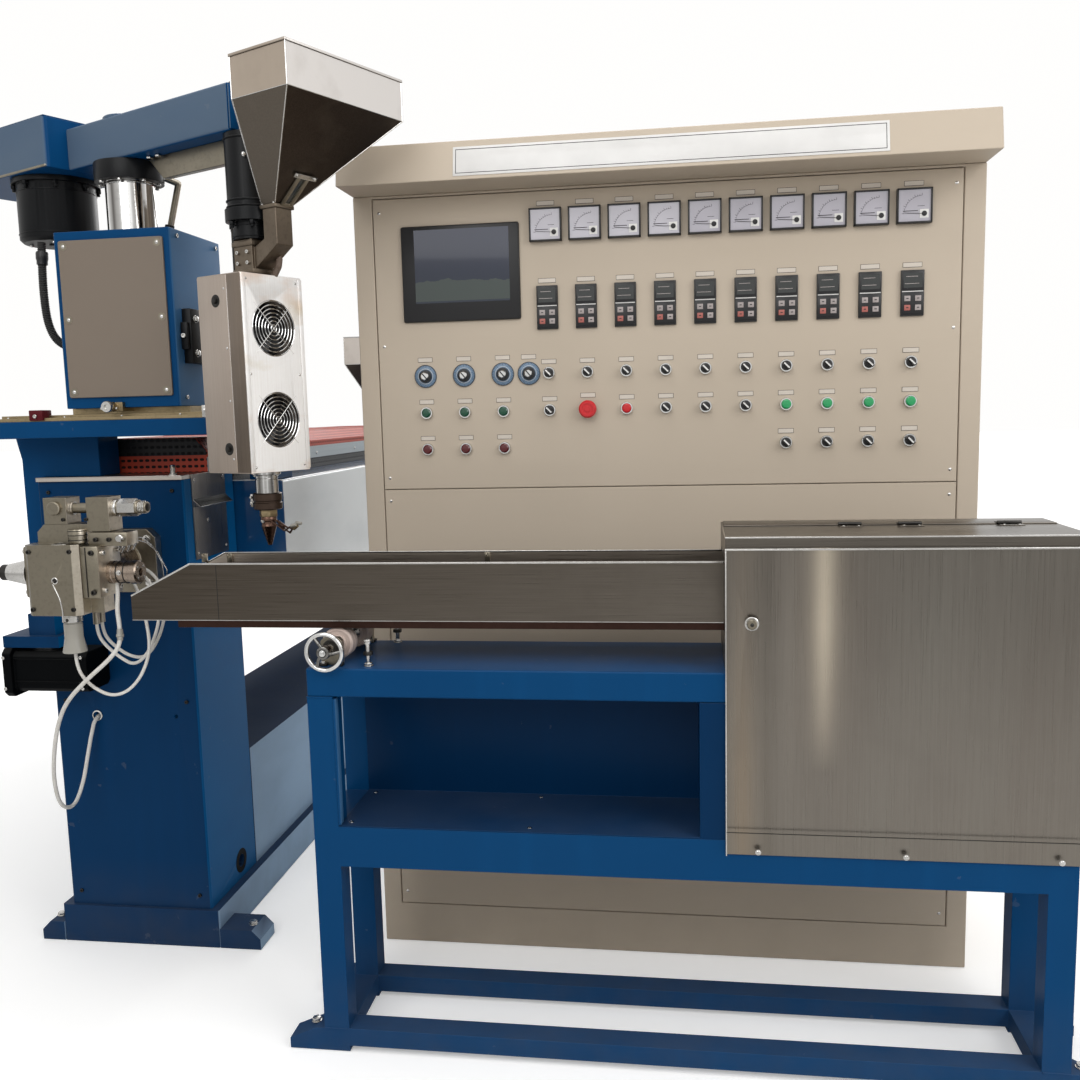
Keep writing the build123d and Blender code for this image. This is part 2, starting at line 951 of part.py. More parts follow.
def arm_motor():
    """The flanged motor that hangs under the belt box."""
    bottom = -arm_motor_height
    rim = arm_motor_rim
    outline = [
        (0, 0),
        (arm_motor_flange_radius, 0),
        (arm_motor_flange_radius, -arm_motor_flange_thickness),
        (arm_motor_radius, -arm_motor_flange_thickness),
        (arm_motor_radius, bottom + rim),
        (arm_motor_radius - rim, bottom),
        (0, bottom),
    ]
    motor = revolve(Plane.XZ * make_face(Polyline(*outline, close=True)), Axis.Z)
    return arm_place * Pos(arm_motor_s, 0, arm_bottom) * motor


def screw_housing():
    """The bearing housing of the vertical screw, and the lifting eye above it."""
    height = screw_housing_height
    flange_top = -height + screw_flange_rise + screw_flange_height
    outline = [
        (0, 0),
        (screw_housing_radius, 0),
        (screw_housing_radius, flange_top),
        (screw_flange_radius, flange_top),
        (screw_flange_radius, -height + screw_flange_rise),
        (screw_neck_radius, -height + screw_flange_rise),
        (screw_neck_radius, -height),
        (0, -height),
    ]
    housing = revolve(Plane.XZ * make_face(Polyline(*outline, close=True)), Axis.Z)
    eye_z = arm_top + eye_base_height + eye_radius
    base = rod(eye_base_radius, eye_base_height + eye_bar / 2, (screw_s, 0, arm_top), (0, 0, 1))
    ring_plane = Plane(origin=(screw_s, eye_bar / 2, eye_z), x_dir=(1, 0, 0), z_dir=(0, -1, 0))
    ring = RegularPolygon(eye_radius, guard_sides) - RegularPolygon(eye_radius - eye_bar, guard_sides)
    eye = base + extrude(ring_plane * ring, eye_bar)
    return arm_place * Pos(screw_s, 0, arm_bottom) * housing, arm_place * eye


def arm_hopper():
    """The stainless hopper, leaning back to its outlet over the feed block."""
    outlet_s = screw_s + screw_housing_radius + spout_gap + spout_length / 2
    shell = hopper_shell(
        arm_hopper_length,
        arm_hopper_width,
        spout_length,
        spout_width,
        arm_hopper_bottom,
        arm_hopper_top - arm_hopper_band,
        arm_hopper_top,
        outlet_s - arm_hopper_s,
        arm_hopper_wall,
    )
    return arm_place * Pos(arm_hopper_s, 0, 0) * shell


def feed_block():
    """The feed zone of the small barrel, with the bent chute from the hopper."""
    half = feed_block_size / 2
    body = block(screw_s - half, screw_s + half, -half, half, fan_box_top, screw_housing_bottom)
    low = fan_box_top + chute_lift
    outer = screw_s + screw_housing_radius + spout_gap + spout_length
    inner = outer - spout_length
    outline = [
        (screw_s + half, low),
        (screw_s + half, low + chute_inner_height),
        (inner, low + chute_outer_height),
        (inner, arm_hopper_bottom),
        (outer, arm_hopper_bottom),
        (outer, low + chute_inner_height),
    ]
    return arm_place * (body + plate_outline(outline, Plane.XZ, spout_width, (0, spout_width / 2, 0)))


def fan_box():
    """The sheet housing round the small barrel, with a round opening for each fan."""
    half_length = fan_box_length / 2
    half_width = fan_box_width / 2
    face = fan_box_s + half_length
    box = block(fan_box_s - half_length, face, -half_width, half_width, fan_box_bottom, fan_box_top)
    box = fillet(box.edges().filter_by(Axis.Z), fan_box_corner)
    middle = (fan_box_bottom + fan_box_top) / 2
    for side in (-1, 1):
        z = middle + side * fan_pitch / 2
        box -= rod(fan_radius, fan_recess_depth, (face, 0, z), (-1, 0, 0))
        box += rod(hub_radius, hub_length, (face - fan_recess_depth, 0, z), (1, 0, 0))
    return arm_place * box


def fan_guards():
    """A guard of rings and a diagonal cross in the mouth of each fan."""
    face = fan_box_s + fan_box_length / 2
    middle = (fan_box_bottom + fan_box_top) / 2
    guards = []
    for side in (-1, 1):
        origin = (face - guard_wire, 0, middle + side * fan_pitch / 2)
        plane = Plane(origin=origin, x_dir=(0, 1, 0), z_dir=(1, 0, 0))
        outer = fan_radius - seat_gap
        rings = Sketch()
        for index in range(guard_ring_count):
            radius = outer - index * guard_ring_pitch
            rings += RegularPolygon(radius, guard_sides) - RegularPolygon(radius - guard_wire, guard_sides)
        reach = 2 * (outer - guard_wire)
        rings += Rot(0, 0, 45) * Rectangle(reach, guard_wire)
        rings += Rot(0, 0, -45) * Rectangle(reach, guard_wire)
        guards.append(arm_place * extrude(plane * rings, guard_wire))
    return guards


def arm_nozzle():
    """Barrel end, clamp ring and tapered tip below the fan box."""
    outline = [
        (0, 0),
        (nozzle_radius, 0),
        (nozzle_radius, -nozzle_clamp_top),
        (nozzle_clamp_radius, -nozzle_clamp_top),
        (nozzle_clamp_radius, -nozzle_clamp_bottom),
        (nozzle_neck_radius, -nozzle_clamp_bottom),
        (nozzle_neck_radius, -nozzle_shoulder),
        (nozzle_tip_radius, -nozzle_length),
        (0, -nozzle_length),
    ]
    nozzle = revolve(Plane.XZ * make_face(Polyline(*outline, close=True)), Axis.Z)
    return arm_place * Pos(screw_s, 0, fan_box_bottom) * nozzle


# Control cabinet
def cabinet_body():
    body = block(cabinet_left, cabinet_right, 0, cabinet_depth, 0, cabinet_height)
    recess_left = cabinet_left + panel_inset
    recess_right = cabinet_right - panel_inset
    recess_top = cabinet_height - panel_top_gap
    return body - block(recess_left, recess_right, -1, panel_thickness, panel_bottom, recess_top)


def cabinet_hood():
    """The top cover, reaching over the instruments with a sloping front."""
    outline = [
        (cabinet_depth, cabinet_height),
        (-hood_overhang, cabinet_height),
        (-hood_overhang + hood_slope, hood_top),
        (cabinet_depth, hood_top),
    ]
    return plate_outline(outline, Plane.YZ, cabinet_width, (cabinet_left, 0, 0))


def cabinet_panel(bottom, top):
    left = cabinet_left + panel_inset + panel_gap
    right = cabinet_right - panel_inset - panel_gap
    return block(left, right, 0, panel_thickness, bottom, top)


def touch_screen():
    left = cabinet_left + screen_left
    right = left + screen_width
    top = cabinet_height - screen_drop
    bottom = top - screen_height
    frame = block(left, right, -screen_thickness, 0, bottom, top)
    frame = fillet(frame.edges().filter_by(Axis.Y), screen_corner)
    edge = screen_border
    glass_back = -screen_thickness + screen_glass_depth
    front = -screen_thickness - 1
    return frame - block(left + edge, right - edge, front, glass_back, bottom + edge, top - edge)


# The instrument row fills the panel from its first column to the right margin
row_room = cabinet_width - meter_first - meter_size - meter_right_margin
column_count = int(row_room // meter_pitch) + 1
first_column = cabinet_left + meter_first + meter_size / 2
column_centres = [first_column + index * meter_pitch for index in range(column_count)]
left_centres = [cabinet_left + left_first + index * left_pitch for index in range(3)]


def panel_row(width, height, drop, thickness):
    """One like instrument in each column."""
    top = cabinet_height - drop
    half = width / 2
    return [block(x - half, x + half, -thickness, 0, top - height, top) for x in column_centres]


def prism(radius, sides, depth, x, z, base=0):
    """A many-sided knob standing out of the panel."""
    plane = Plane(origin=(x, -base, z), x_dir=(1, 0, 0), z_dir=(0, -1, 0))
    return extrude(plane * RegularPolygon(radius, sides), depth)


def selector(x, z):
    """A rotary switch with its bar handle."""
    handle = block(
        x - switch_handle / 2,
        x + switch_handle / 2,
        -switch_depth - switch_handle_depth,
        -switch_depth,
        z - switch_radius,
        z + switch_radius,
    )
    return prism(switch_radius, button_sides, switch_depth, x, z) + handle


def panel_switches():
    """Three rows of switches and push buttons, and four speed dials."""
    first_z = cabinet_height - switch_drop
    rows = [first_z - index * switch_row_pitch for index in range(3)]
    solids = [selector(x, rows[0]) for x in column_centres]
    for index, x in enumerate(column_centres):
        if index == stop_column:
            solids.append(prism(stop_radius, dial_sides, switch_depth + switch_handle_depth, x, rows[1]))
        elif index == stop_column + 1 or index >= column_count - lit_columns:
            solids.append(prism(switch_radius, button_sides, switch_depth, x, rows[1]))
        else:
            solids.append(selector(x, rows[1]))
        if index >= column_count - lit_columns:
            solids.append(selector(x, rows[2]))
    for x in left_centres:
        for z in rows[1:]:
            solids.append(prism(switch_radius, button_sides, switch_depth, x, z))
    for x in left_centres + [left_centres[2] + dial_shift]:
        dial = prism(dial_radius, dial_sides, dial_depth, x, rows[0])
        solids.append(dial + prism(dial_knob_radius, button_sides, dial_knob_depth, x, rows[0], dial_depth))
    return solids


# Trough table
leg_left = [table_left, table_right - tube_size]
leg_front = [table_front, table_back - tube_size]


def table_foot(side, edge, y):
    """A bevelled floor plate at an end of the table."""
    outer = edge + side * table_foot_reach
    outline = [
        (edge, 0),
        (outer, 0),
        (outer, table_foot_toe),
        (edge + side * table_foot_flat, table_foot_height),
        (edge, table_foot_height),
    ]
    return plate_outline(outline, Plane.XZ, tube_size, (0, y + tube_size, 0))


def table_legs():
    """Four legs with the low and middle rails between them, and the floor plates."""
    t = tube_size
    low = (bottom_rail_bottom, bottom_rail_bottom + bottom_rail_height)
    middle = (mid_rail_bottom, mid_rail_top)
    shape = block(leg_left[0], leg_left[0] + t, leg_front[0], leg_front[0] + t, 0, table_frame_bottom)
    for x in leg_left:
        for y in leg_front:
            shape += block(x, x + t, y, y + t, 0, table_frame_bottom)
    for bottom, top in (low, middle):
        for y in leg_front:
            shape += block(leg_left[0] + t, leg_left[1], y, y + t, bottom, top)
        for x in leg_left:
            shape += block(x, x + t, leg_front[0] + t, leg_front[1], bottom, top)
    for side, edge in ((-1, table_left), (1, table_right)):
        for y in leg_front:
            shape += table_foot(side, edge, y)
    return shape


def table_top():
    """The top: a frame of tubes under a sheet."""
    t = tube_size
    frame = block(table_left, table_right, table_front, table_back, table_frame_bottom, table_height)
    return frame - block(
        table_left + t,
        table_right - t,
        table_front + t,
        table_back - t,
        table_frame_bottom - 1,
        table_height - top_sheet,
    )


def table_tray():
    """The recessed tray with its back, floor and the post beside it."""
    left = table_left + tube_size
    post = table_left + mullion_left
    low = mid_rail_top
    high = table_frame_bottom
    back_front = table_front + tray_depth
    back = block(left, post + tube_size, back_front, back_front + tray_thickness, low, high)
    floor = block(left, post, table_front, back_front, low, low + tray_thickness)
    upright = block(post, post + tube_size, table_front, back_front, low, high)
    return back + floor + upright


# Cooling trough and its rollers
def cooling_trough():
    """The open channel with its sloping tip, and the bar under it that runs on the rollers."""
    wall = trough_wall
    body = block(trough_tip, trough_end, trough_front, trough_back, trough_bottom, trough_top)
    body -= block(
        trough_tip - 1,
        trough_end + 1,
        trough_front + wall,
        trough_back - wall,
        trough_bottom + wall,
        trough_top + 1,
    )
    cut = [
        (trough_tip - 1, trough_bottom + trough_tip_height),
        (trough_full, trough_top + 1),
        (trough_tip - 1, trough_top + 1),
    ]
    body -= plate_outline(cut, Plane.XZ, trough_width + 2, (0, trough_back + 1, 0))
    bar = block(
        trough_tip + rail_bar_start,
        trough_end - rail_bar_end,
        trough_front + rail_bar_inset,
        trough_back - rail_bar_inset,
        rail_bar_bottom,
        trough_bottom,
    )
    return body + bar


def roller_set():
    """The cross shaft with its two nylon rollers."""
    along = (0, 1, 0)
    shaft = rod(shaft_radius, shaft_back - shaft_front, (roller_x, shaft_front, roller_z), along)
    front_y = trough_front + roller_inset
    back_y = trough_back - roller_inset - roller_width
    for y in (front_y, back_y):
        shaft += rod(roller_radius, roller_width, (roller_x, y, roller_z), along)
    return shaft


def handwheel():
    """A spoked wheel on the front end of the shaft."""
    ring_radius = handwheel_radius - rim_radius
    inner = handwheel_radius - 2 * rim_radius
    ring = RegularPolygon(handwheel_radius, rim_sides) - RegularPolygon(inner, rim_sides)
    rim = extrude(ring, rim_radius, both=True)
    rim = chamfer(rim.edges().filter_by(Plane.XY), rim_bevel)
    wheel = rim + Cylinder(hub_wheel_radius, hub_wheel_length)
    spoke_inner = hub_wheel_radius - 2
    spoke_length = ring_radius - spoke_inner
    for index in range(spoke_count):
        spoke = Pos(spoke_inner + spoke_length / 2, 0, 0) * Box(spoke_length, spoke_width, spoke_thickness)
        wheel += Rot(0, 0, 90 + index * 360 / spoke_count) * spoke
    wheel -= Cylinder(shaft_radius, hub_wheel_length)
    return Pos(roller_x, shaft_front + hub_wheel_length / 2, roller_z) * Rot(90, 0, 0) * wheel


def roller_brackets():
    """The two bearing brackets on the table top."""
    solids = []
    top = roller_z + bracket_above_shaft
    for y in (trough_front - bracket_side_gap - bracket_plate, trough_back + bracket_side_gap):
        left = roller_x - bracket_half_width
        right = roller_x + bracket_half_width
        body = block(left, right, y, y + bracket_plate, table_height, top)
        body = chamfer(body.edges().filter_by(Axis.Y).group_by(Axis.Z)[-1], bracket_plate / 2)
        bore = (roller_x, y, roller_z)
        solids.append(body - rod(shaft_radius + shaft_clearance, bracket_plate, bore, (0, 1, 0)))
    return solids


# Splash tank
def tank_box():
    """The open stainless box on the table, with the ledge that the trough's bar slides on."""
    t = tank_wall
    outer = block(tank_left, table_right, table_front, table_back, table_height, tank_top)
    floor = table_height + t
    outer -= block(tank_left + t, table_right - t, table_front + t, table_back - t, floor, tank_top + 1)
    gap = port_clearance
    outer -= block(
        tank_left - 1,
        tank_left + t + 1,
        trough_front - gap,
        trough_back + gap,
        rail_bar_bottom - gap,
        trough_top + gap,
    )
    ledge_top = rail_bar_bottom - roller_gap
    ledge_bottom = ledge_top - support_ledge_thickness
    x0 = tank_left + support_ledge_inset
    y0 = trough_front + support_ledge_margin
    y1 = trough_back - support_ledge_margin
    outer += block(x0, x0 + support_ledge_length, y0, y1, ledge_bottom, ledge_top)
    post_front = trough_front + support_post_margin
    post_back = trough_back - support_post_margin
    return outer + block(x0, x0 + support_post_length, post_front, post_back, floor, ledge_bottom)


def front_panel():
    """The sheet over the front of the tank and the table, with its knob."""
    bottom = table_height - front_panel_drop
    sheet = block(tank_left, table_right, front_panel_face, table_front, bottom, tank_top)
    knob_start = (tank_left + panel_knob_x, front_panel_face, tank_top - panel_knob_drop)
    return sheet + rod(panel_knob_radius, panel_knob_length, knob_start, (0, -1, 0))


def lid_rear():
    return block(tank_left, table_right, lid_seam + lid_gap, table_back, tank_top, lid_top)


def lid_flap():
    """The hinged front of the lid, a shallow pan turned over."""
    bottom = tank_top + lid_clearance
    pan = block(tank_left, table_right, front_panel_face, lid_seam, bottom, lid_top)
    t = lid_thickness
    inner_front = front_panel_face + t
    return pan - block(tank_left + t, table_right - t, inner_front, lid_seam - t, bottom - 1, lid_top - t)


# Leads and conduit: straight runs joined by arcs. Each route is its centre line.
long_lead_route = [
    (148, -317.5, 954.7),
    (148, -317.5, 929),
    (151, -331, 897),
    (163, -345, 862),
    (168, -358, 826),
    (146, -366, 797),
    (96, -368, 757),
    (32, -353, 702),
    (-13, -325, 640),
    (-52, -290, 560),
    (-84, -252, 481),
    (-100, -212, 405),
    (-104, -155, 380),
    (-101, -115, 425),
    (-93, -98, 495),
    (-83, -92, 545),
    (-77, -80, 583),
    (-77, -42, 583),
]
front_lead_route = [
    (60, -350, 809.7),
    (60, -350, 784),
    (68, -344, 751),
    (95, -338, 723),
    (129, -335, 709),
    (163, -329, 719),
    (190, -317, 752),
    (204, -303, 802),
    (192, -285, 850),
    (170, -263, 897),
    (146, -243, 938),
    (112, -225, 968),
    (82.3, -225, 968),
]
side_lead_route = [
    (84, -301.5, 859.7),
    (84, -301.5, 836),
    (102, -298, 808),
    (130, -293, 782),
    (155, -288, 766),
    (179, -280, 782),
    (197, -268, 822),
    (205, -256, 864),
    (196, -242, 906),
    (166, -220, 944),
    (120, -200, 968),
    (82.3, -200, 968),
]
back_lead_route = [
    (84, -280.5, 859.7),
    (84, -280.5, 834),
    (108, -276, 803),
    (140, -270, 780),
    (170, -263, 777),
    (192, -254, 806),
    (207, -243, 850),
    (206, -228, 896),
    (180, -203, 942),
    (127, -175, 968),
    (82.3, -175, 968),
]
sensor_lead_route = [
    (44, -365.6, 967),
    (44, -386, 967),
    (56, -401, 960),
    (71, -407, 938),
    (75, -405, 910),
    (67, -394, 886),
    (60, -384, 878),
    (60, -367.3, 878),
]
conduit_route = [
    (-168, 0, 1722),
    (-170, -4, 1652),
    (-168, -8, 1585),
    (-162, -10, 1530),
    (-146, -9, 1492),
    (-114, -10, 1473),
    (-84, -10, 1470),
    (-55.3, -10, 1470),
]


def lead(name, radius, route):
    """A many-sided tube along a route, each bend as large as its two runs allow."""
    points = [Vector(*point) for point in route]
    runs = [end - start for start, end in zip(points, points[1:])]
    radii = []
    for before, after in zip(runs, runs[1:]):
        half_turn = radians(before.get_angle(after)) / 2
        radii.append(bend_share * min(before.length, after.length) / tan(half_turn))
    path = FilletPolyline(*points, radius=radii)
    corner_radius = radius * sqrt(2 * pi / (lead_sides * sin(2 * pi / lead_sides)))
    section = Plane(origin=points[0], z_dir=runs[0]) * RegularPolygon(corner_radius, lead_sides)
    tube = sweep(section, path=path)
    print(name, "length", round(path.length, 1), "bends", [round(bend) for bend in radii], end=" ")
    print("volume over section times length", round(tube.volume / (section.area * path.length), 4))
    return tube


write("base_frame", base_frame())
write("front_pedestal", front_pedestal())
write("drip_plate", drip_plate())
write("side_plate", side_plate())
write("machine_bed", machine_bed())
write("barrel_guard", barrel_guard())
write("gearbox", gearbox())
write("feed_throat", feed_throat())
write("main_hopper", main_hopper())
write("barrel_end", barrel_end())
write("head_body", head_body())
write("head_clamp", head_clamp())
write("head_fittings", *head_fittings())
write("ceramic_plug", ceramic_plug())
write("side_motor", side_motor())
write("plate_supports", *plate_supports())
write("top_plate", top_plate())
write("guide_rail", guide_rail())
write("column_saddle", column_saddle())
write("column_box", column_box())
write("box_cover", box_cover())
write("lift_column", lift_column())
write("swing_arm", swing_arm())
write("arm_gusset", arm_gusset())
write("belt_box", belt_box())
write("arm_motor", arm_motor())
write("screw_housing", *screw_housing())
write("feed_block", feed_block())
write("arm_hopper", arm_hopper())
write("fan_box", fan_box())
write("fan_guards", *fan_guards())
write("arm_nozzle", arm_nozzle())
write("cabinet_body", cabinet_body())
write("cabinet_hood", cabinet_hood())
write("instrument_panel", cabinet_panel(panel_seam + seam_gap, cabinet_height - panel_top_gap - panel_gap))
write("lower_panel", cabinet_panel(panel_bottom + panel_gap, panel_seam - seam_gap))
write("touch_screen", touch_screen())
write("panel_meters", *panel_row(meter_size, meter_size, meter_drop, meter_thickness))
controllers = panel_row(controller_width, controller_height, controller_drop, controller_thickness)
write("panel_controllers", *controllers)
write("panel_switches", *panel_switches())
write("table_legs", table_legs())
write("table_top", table_top())
write("table_tray", table_tray())
write("cooling_trough", cooling_trough())
write("roller_set", roller_set())
write("handwheel", handwheel())
write("roller_brackets", *roller_brackets())
write("tank_box", tank_box())
write("front_panel", front_panel())
write("lid_rear", lid_rear())
write("lid_flap", lid_flap())
write("long_lead", lead("long_lead", long_lead_radius, long_lead_route))
write("front_lead", lead("front_lead", lead_radius, front_lead_route))
write("side_lead", lead("side_lead", lead_radius, side_lead_route))
write("back_lead", lead("back_lead", lead_radius, back_lead_route))
write("sensor_lead", lead("sensor_lead", sensor_lead_radius, sensor_lead_route))
write("conduit", lead("conduit", conduit_radius, conduit_route))
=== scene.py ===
import bpy
import bmesh
import json
from itertools import product
from math import atan2, copysign, cos, pi, radians, sin
from mathutils import Matrix, Vector

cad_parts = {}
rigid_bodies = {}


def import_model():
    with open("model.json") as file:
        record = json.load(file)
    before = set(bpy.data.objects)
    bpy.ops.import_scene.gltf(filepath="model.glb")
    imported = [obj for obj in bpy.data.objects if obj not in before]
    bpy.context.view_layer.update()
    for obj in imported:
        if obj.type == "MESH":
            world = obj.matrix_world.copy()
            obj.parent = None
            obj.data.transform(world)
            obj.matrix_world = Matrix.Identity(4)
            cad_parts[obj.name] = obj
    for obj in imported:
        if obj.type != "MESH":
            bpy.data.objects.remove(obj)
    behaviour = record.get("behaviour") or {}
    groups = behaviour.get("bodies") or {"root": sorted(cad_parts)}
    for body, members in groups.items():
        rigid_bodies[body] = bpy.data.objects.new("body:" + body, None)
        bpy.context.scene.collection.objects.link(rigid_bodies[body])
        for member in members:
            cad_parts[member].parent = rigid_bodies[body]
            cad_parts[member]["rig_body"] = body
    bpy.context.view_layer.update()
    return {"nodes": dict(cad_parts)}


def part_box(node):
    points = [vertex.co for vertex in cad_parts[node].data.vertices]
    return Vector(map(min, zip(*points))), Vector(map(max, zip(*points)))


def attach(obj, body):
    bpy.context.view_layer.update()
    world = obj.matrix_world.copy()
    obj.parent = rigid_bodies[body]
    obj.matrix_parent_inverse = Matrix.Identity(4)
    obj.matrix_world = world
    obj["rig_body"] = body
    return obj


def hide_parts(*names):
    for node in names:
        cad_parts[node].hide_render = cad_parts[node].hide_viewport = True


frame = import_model()
nodes = frame["nodes"]
scene = bpy.context.scene
outAlong, outRear, up = Vector((1, 0, 0)), Vector((0, 1, 0)), Vector((0, 0, 1))
inAlong, outFront, down = -outAlong, -outRear, -up
print("frame loaded:", len(nodes), "parts")


def sumOf(operation, swap=False):
    return lambda self, other: self.maths(operation, other, swap)


# A socket that can be written into sums, so that masks read as plain formulas
class Wire:
    tree = None

    def __init__(self, socket):
        self.socket = socket

    def maths(self, operation, other, swap=False):
        node = Wire.tree.nodes.new("ShaderNodeMath")
        node.operation = operation
        sides = (other, self) if swap else (self, other)
        for entry, value in zip(node.inputs, sides):
            if isinstance(value, Wire):
                Wire.tree.links.new(value.socket, entry)
            else:
                entry.default_value = value
        return Wire(node.outputs[0])

    __add__, __radd__ = sumOf("ADD"), sumOf("ADD", True)
    __sub__, __rsub__ = sumOf("SUBTRACT"), sumOf("SUBTRACT", True)
    __mul__, __rmul__ = sumOf("MULTIPLY"), sumOf("MULTIPLY", True)
    __truediv__, __pow__ = sumOf("DIVIDE"), sumOf("POWER")
    __gt__, __lt__ = sumOf("GREATER_THAN"), sumOf("LESS_THAN")

    def held(self):    # kept between 0 and 1
        return self.maths("MAXIMUM", 0.0).maths("MINIMUM", 1.0)


# A material under construction: add() makes any node, shade() closes it
class Finish:
    def __init__(self, name):
        self.material = bpy.data.materials.new(name)
        self.material.use_nodes = True
        self.tree = self.material.node_tree
        self.tree.nodes.clear()
        Wire.tree = self.tree
        self.spot = self.add("TexCoord", output="Object")

    def add(self, kind, settings=None, inputs=None, output=0):
        node = self.tree.nodes.new("ShaderNode" + kind)
        for key, value in (settings or {}).items():
            if key == "stops":
                while len(node.color_ramp.elements) < len(value):
                    node.color_ramp.elements.new(0.5)
                for element, (place, colour) in zip(node.color_ramp.elements, value):
                    element.position = place
                    element.color = (*colour, 1.0)
            else:
                setattr(node, key, value)
        for key, value in (inputs or {}).items():
            if isinstance(value, Wire):
                self.tree.links.new(value.socket, node.inputs[key])
            else:
                node.inputs[key].default_value = value
        return Wire(node.outputs[output])

    def noise(self, scale, stretch=(1, 1, 1), detail=3.0):
        mapped = self.add("Mapping", inputs={"Vector": self.spot, "Scale": stretch})
        return self.add("TexNoise", inputs={"Vector": mapped, "Scale": scale, "Detail": detail})

    def axis(self, name):
        return self.add("SeparateXYZ", inputs={"Vector": self.spot}, output=name)

    def facing(self, way=up):    # how squarely a surface looks that way, from 0 to 1
        normal = self.add("TexCoord", output="Normal")
        found = self.add("VectorMath", {"operation": "DOT_PRODUCT"}, {0: normal, 1: way}, output="Value")
        return found.held()

    def ridge(self, place, centre, width):    # 1 on a line, falling softly on both sides
        away = (place - centre) / width
        return (away * away + 1.0) ** -2.0

    def mix(self, factor, first, second):
        inputs = {0: factor, 6: first, 7: second}
        for key in (6, 7):
            if not isinstance(inputs[key], Wire):
                inputs[key] = (*inputs[key], 1.0)
        return self.add("Mix", {"data_type": "RGBA"}, inputs, output=2)

    def bump(self, height, strength, distance=0.001):
        inputs = {"Height": height, "Strength": strength, "Distance": distance}
        return self.add("Bump", inputs=inputs)

    def shade(self, colour, roughness, **rest):
        names = {"metallic": "Metallic", "coat": "Coat Weight", "coatRoughness": "Coat Roughness",
                 "normal": "Normal", "specular": "Specular IOR Level", "anisotropic": "Anisotropic",
                 "glow": "Emission Color", "glowStrength": "Emission Strength"}
        if not isinstance(colour, Wire):
            colour = (*colour, 1.0)
        inputs = {"Base Color": colour, "Roughness": roughness}
        for key, value in rest.items():
            if key == "glow" and not isinstance(value, Wire):
                value = (*value, 1.0)
            inputs[names[key]] = value
        shader = self.add("BsdfPrincipled", inputs=inputs)
        end = self.tree.nodes.new("ShaderNodeOutputMaterial")
        self.tree.links.new(shader.socket, end.inputs["Surface"])
        return self.material


# Finishes. Some have light or shade painted into their tone by where their surface looks to.
towardFront, alongArm = (-0.43, -0.9, 0.0), (0.9, -0.43, 0.0)


def enamel(name, colour, dark, roughness=0.34, specular=0.06, coat=0.0, glare=None):
    f = Finish(name)
    clouds = f.noise(2.2)
    chips = (f.noise(34, detail=8.0) > 0.69) * (f.noise(5.0) > 0.58)
    low = ((0.22 - f.axis("Z")) * 4.0).held() * f.noise(16.0, detail=6.0)
    dust = f.facing() * f.noise(7.0, detail=6.0) * 0.1
    runs = (f.noise(2.6, (9, 9, 0.5), 5.0) - 0.5).held() * 0.5
    tone = f.mix(clouds, colour, dark)
    tone = f.mix(runs, tone, tuple(1.5 * c for c in colour))
    if glare:    # painted light on faces that look one way: that way, its tone and how far it shows
        way, pale, strength = glare
        lit = ((f.facing(way) - 0.55) * 3.0).held() * (0.7 + f.noise(2.4, (1, 1, 2.5), 4.0) * 0.6)
        tone = f.mix((lit * strength).held(), tone, pale)
    tone = f.mix(low * 0.45, tone, (0.075, 0.068, 0.055))
    tone = f.mix((dust + chips * 0.1).held(), tone, (0.25, 0.25, 0.24))
    peel = f.noise(240.0, detail=1.0) * 0.2 + f.noise(8.0, detail=2.0)
    rough = roughness + (clouds - 0.5) * 0.14 + dust * 0.9 + low * 0.3
    normal = f.bump(peel, 0.4, 0.0012)
    return f.shade(tone, rough, specular=specular, coat=coat, coatRoughness=0.14, normal=normal)


def powderCoat(name, colour, dark, roughness=0.48):
    f = Finish(name)
    clouds = f.noise(1.4, detail=5.0)
    marks = (f.noise(3.0, (1, 1, 0.12), 8.0) - 0.55).held() * 2.0
    smears = (f.noise(5.0, (0.3, 1, 2.2), 6.0) - 0.56).held() * 2.0
    low = ((0.3 - f.axis("Z")) * 3.0).held() * f.noise(12.0, detail=6.0)
    tone = f.mix(clouds, colour, dark)
    tone = f.mix((marks * 0.16 + smears * 0.12 + low * 0.35).held(), tone, (0.24, 0.2, 0.15))
    grain = f.noise(900.0, detail=1.0) * 0.3 + f.noise(6.0, detail=2.0)
    rough = roughness + marks * 0.1
    return f.shade(tone, rough, normal=f.bump(grain, 0.4, 0.0008), specular=0.3)


# Brushed sheet. Painted reflection, light and shade are laid into its tone by a function of its own.
def brushed(name, colour, tint, grainWay, roughness=0.3, stain=0.35, paintedLight=None, metallic=1.0, grain=0.5):
    f = Finish(name)
    lines = f.noise(9.0, tuple(0.7 if way == grainWay else 60.0 for way in "xyz"), 4.0)
    clouds = f.noise(2.6, tuple(0.5 if way == grainWay else 1.6 for way in "xyz"), 5.0)
    spots = (f.noise(11.0, detail=8.0) - 0.54).held() * 3.0
    tone = f.mix(((clouds - 0.3) * 2.2).held(), colour, tint)
    if paintedLight:
        tone = paintedLight(f, tone)
    tone = f.mix((lines - 0.35).held() * grain, tone, tuple(1.5 * c for c in colour))
    tone = f.mix((spots * stain).held(), tone, tuple(0.62 * c for c in tint))
    rough = roughness + (lines - 0.5) * 0.2 + spots * 0.08
    height = lines * 0.3 + f.noise(3.0, detail=1.0) * 2.5
    return f.shade(tone, rough, metallic=metallic, anisotropic=0.4, normal=f.bump(height, 0.3, 0.0012))


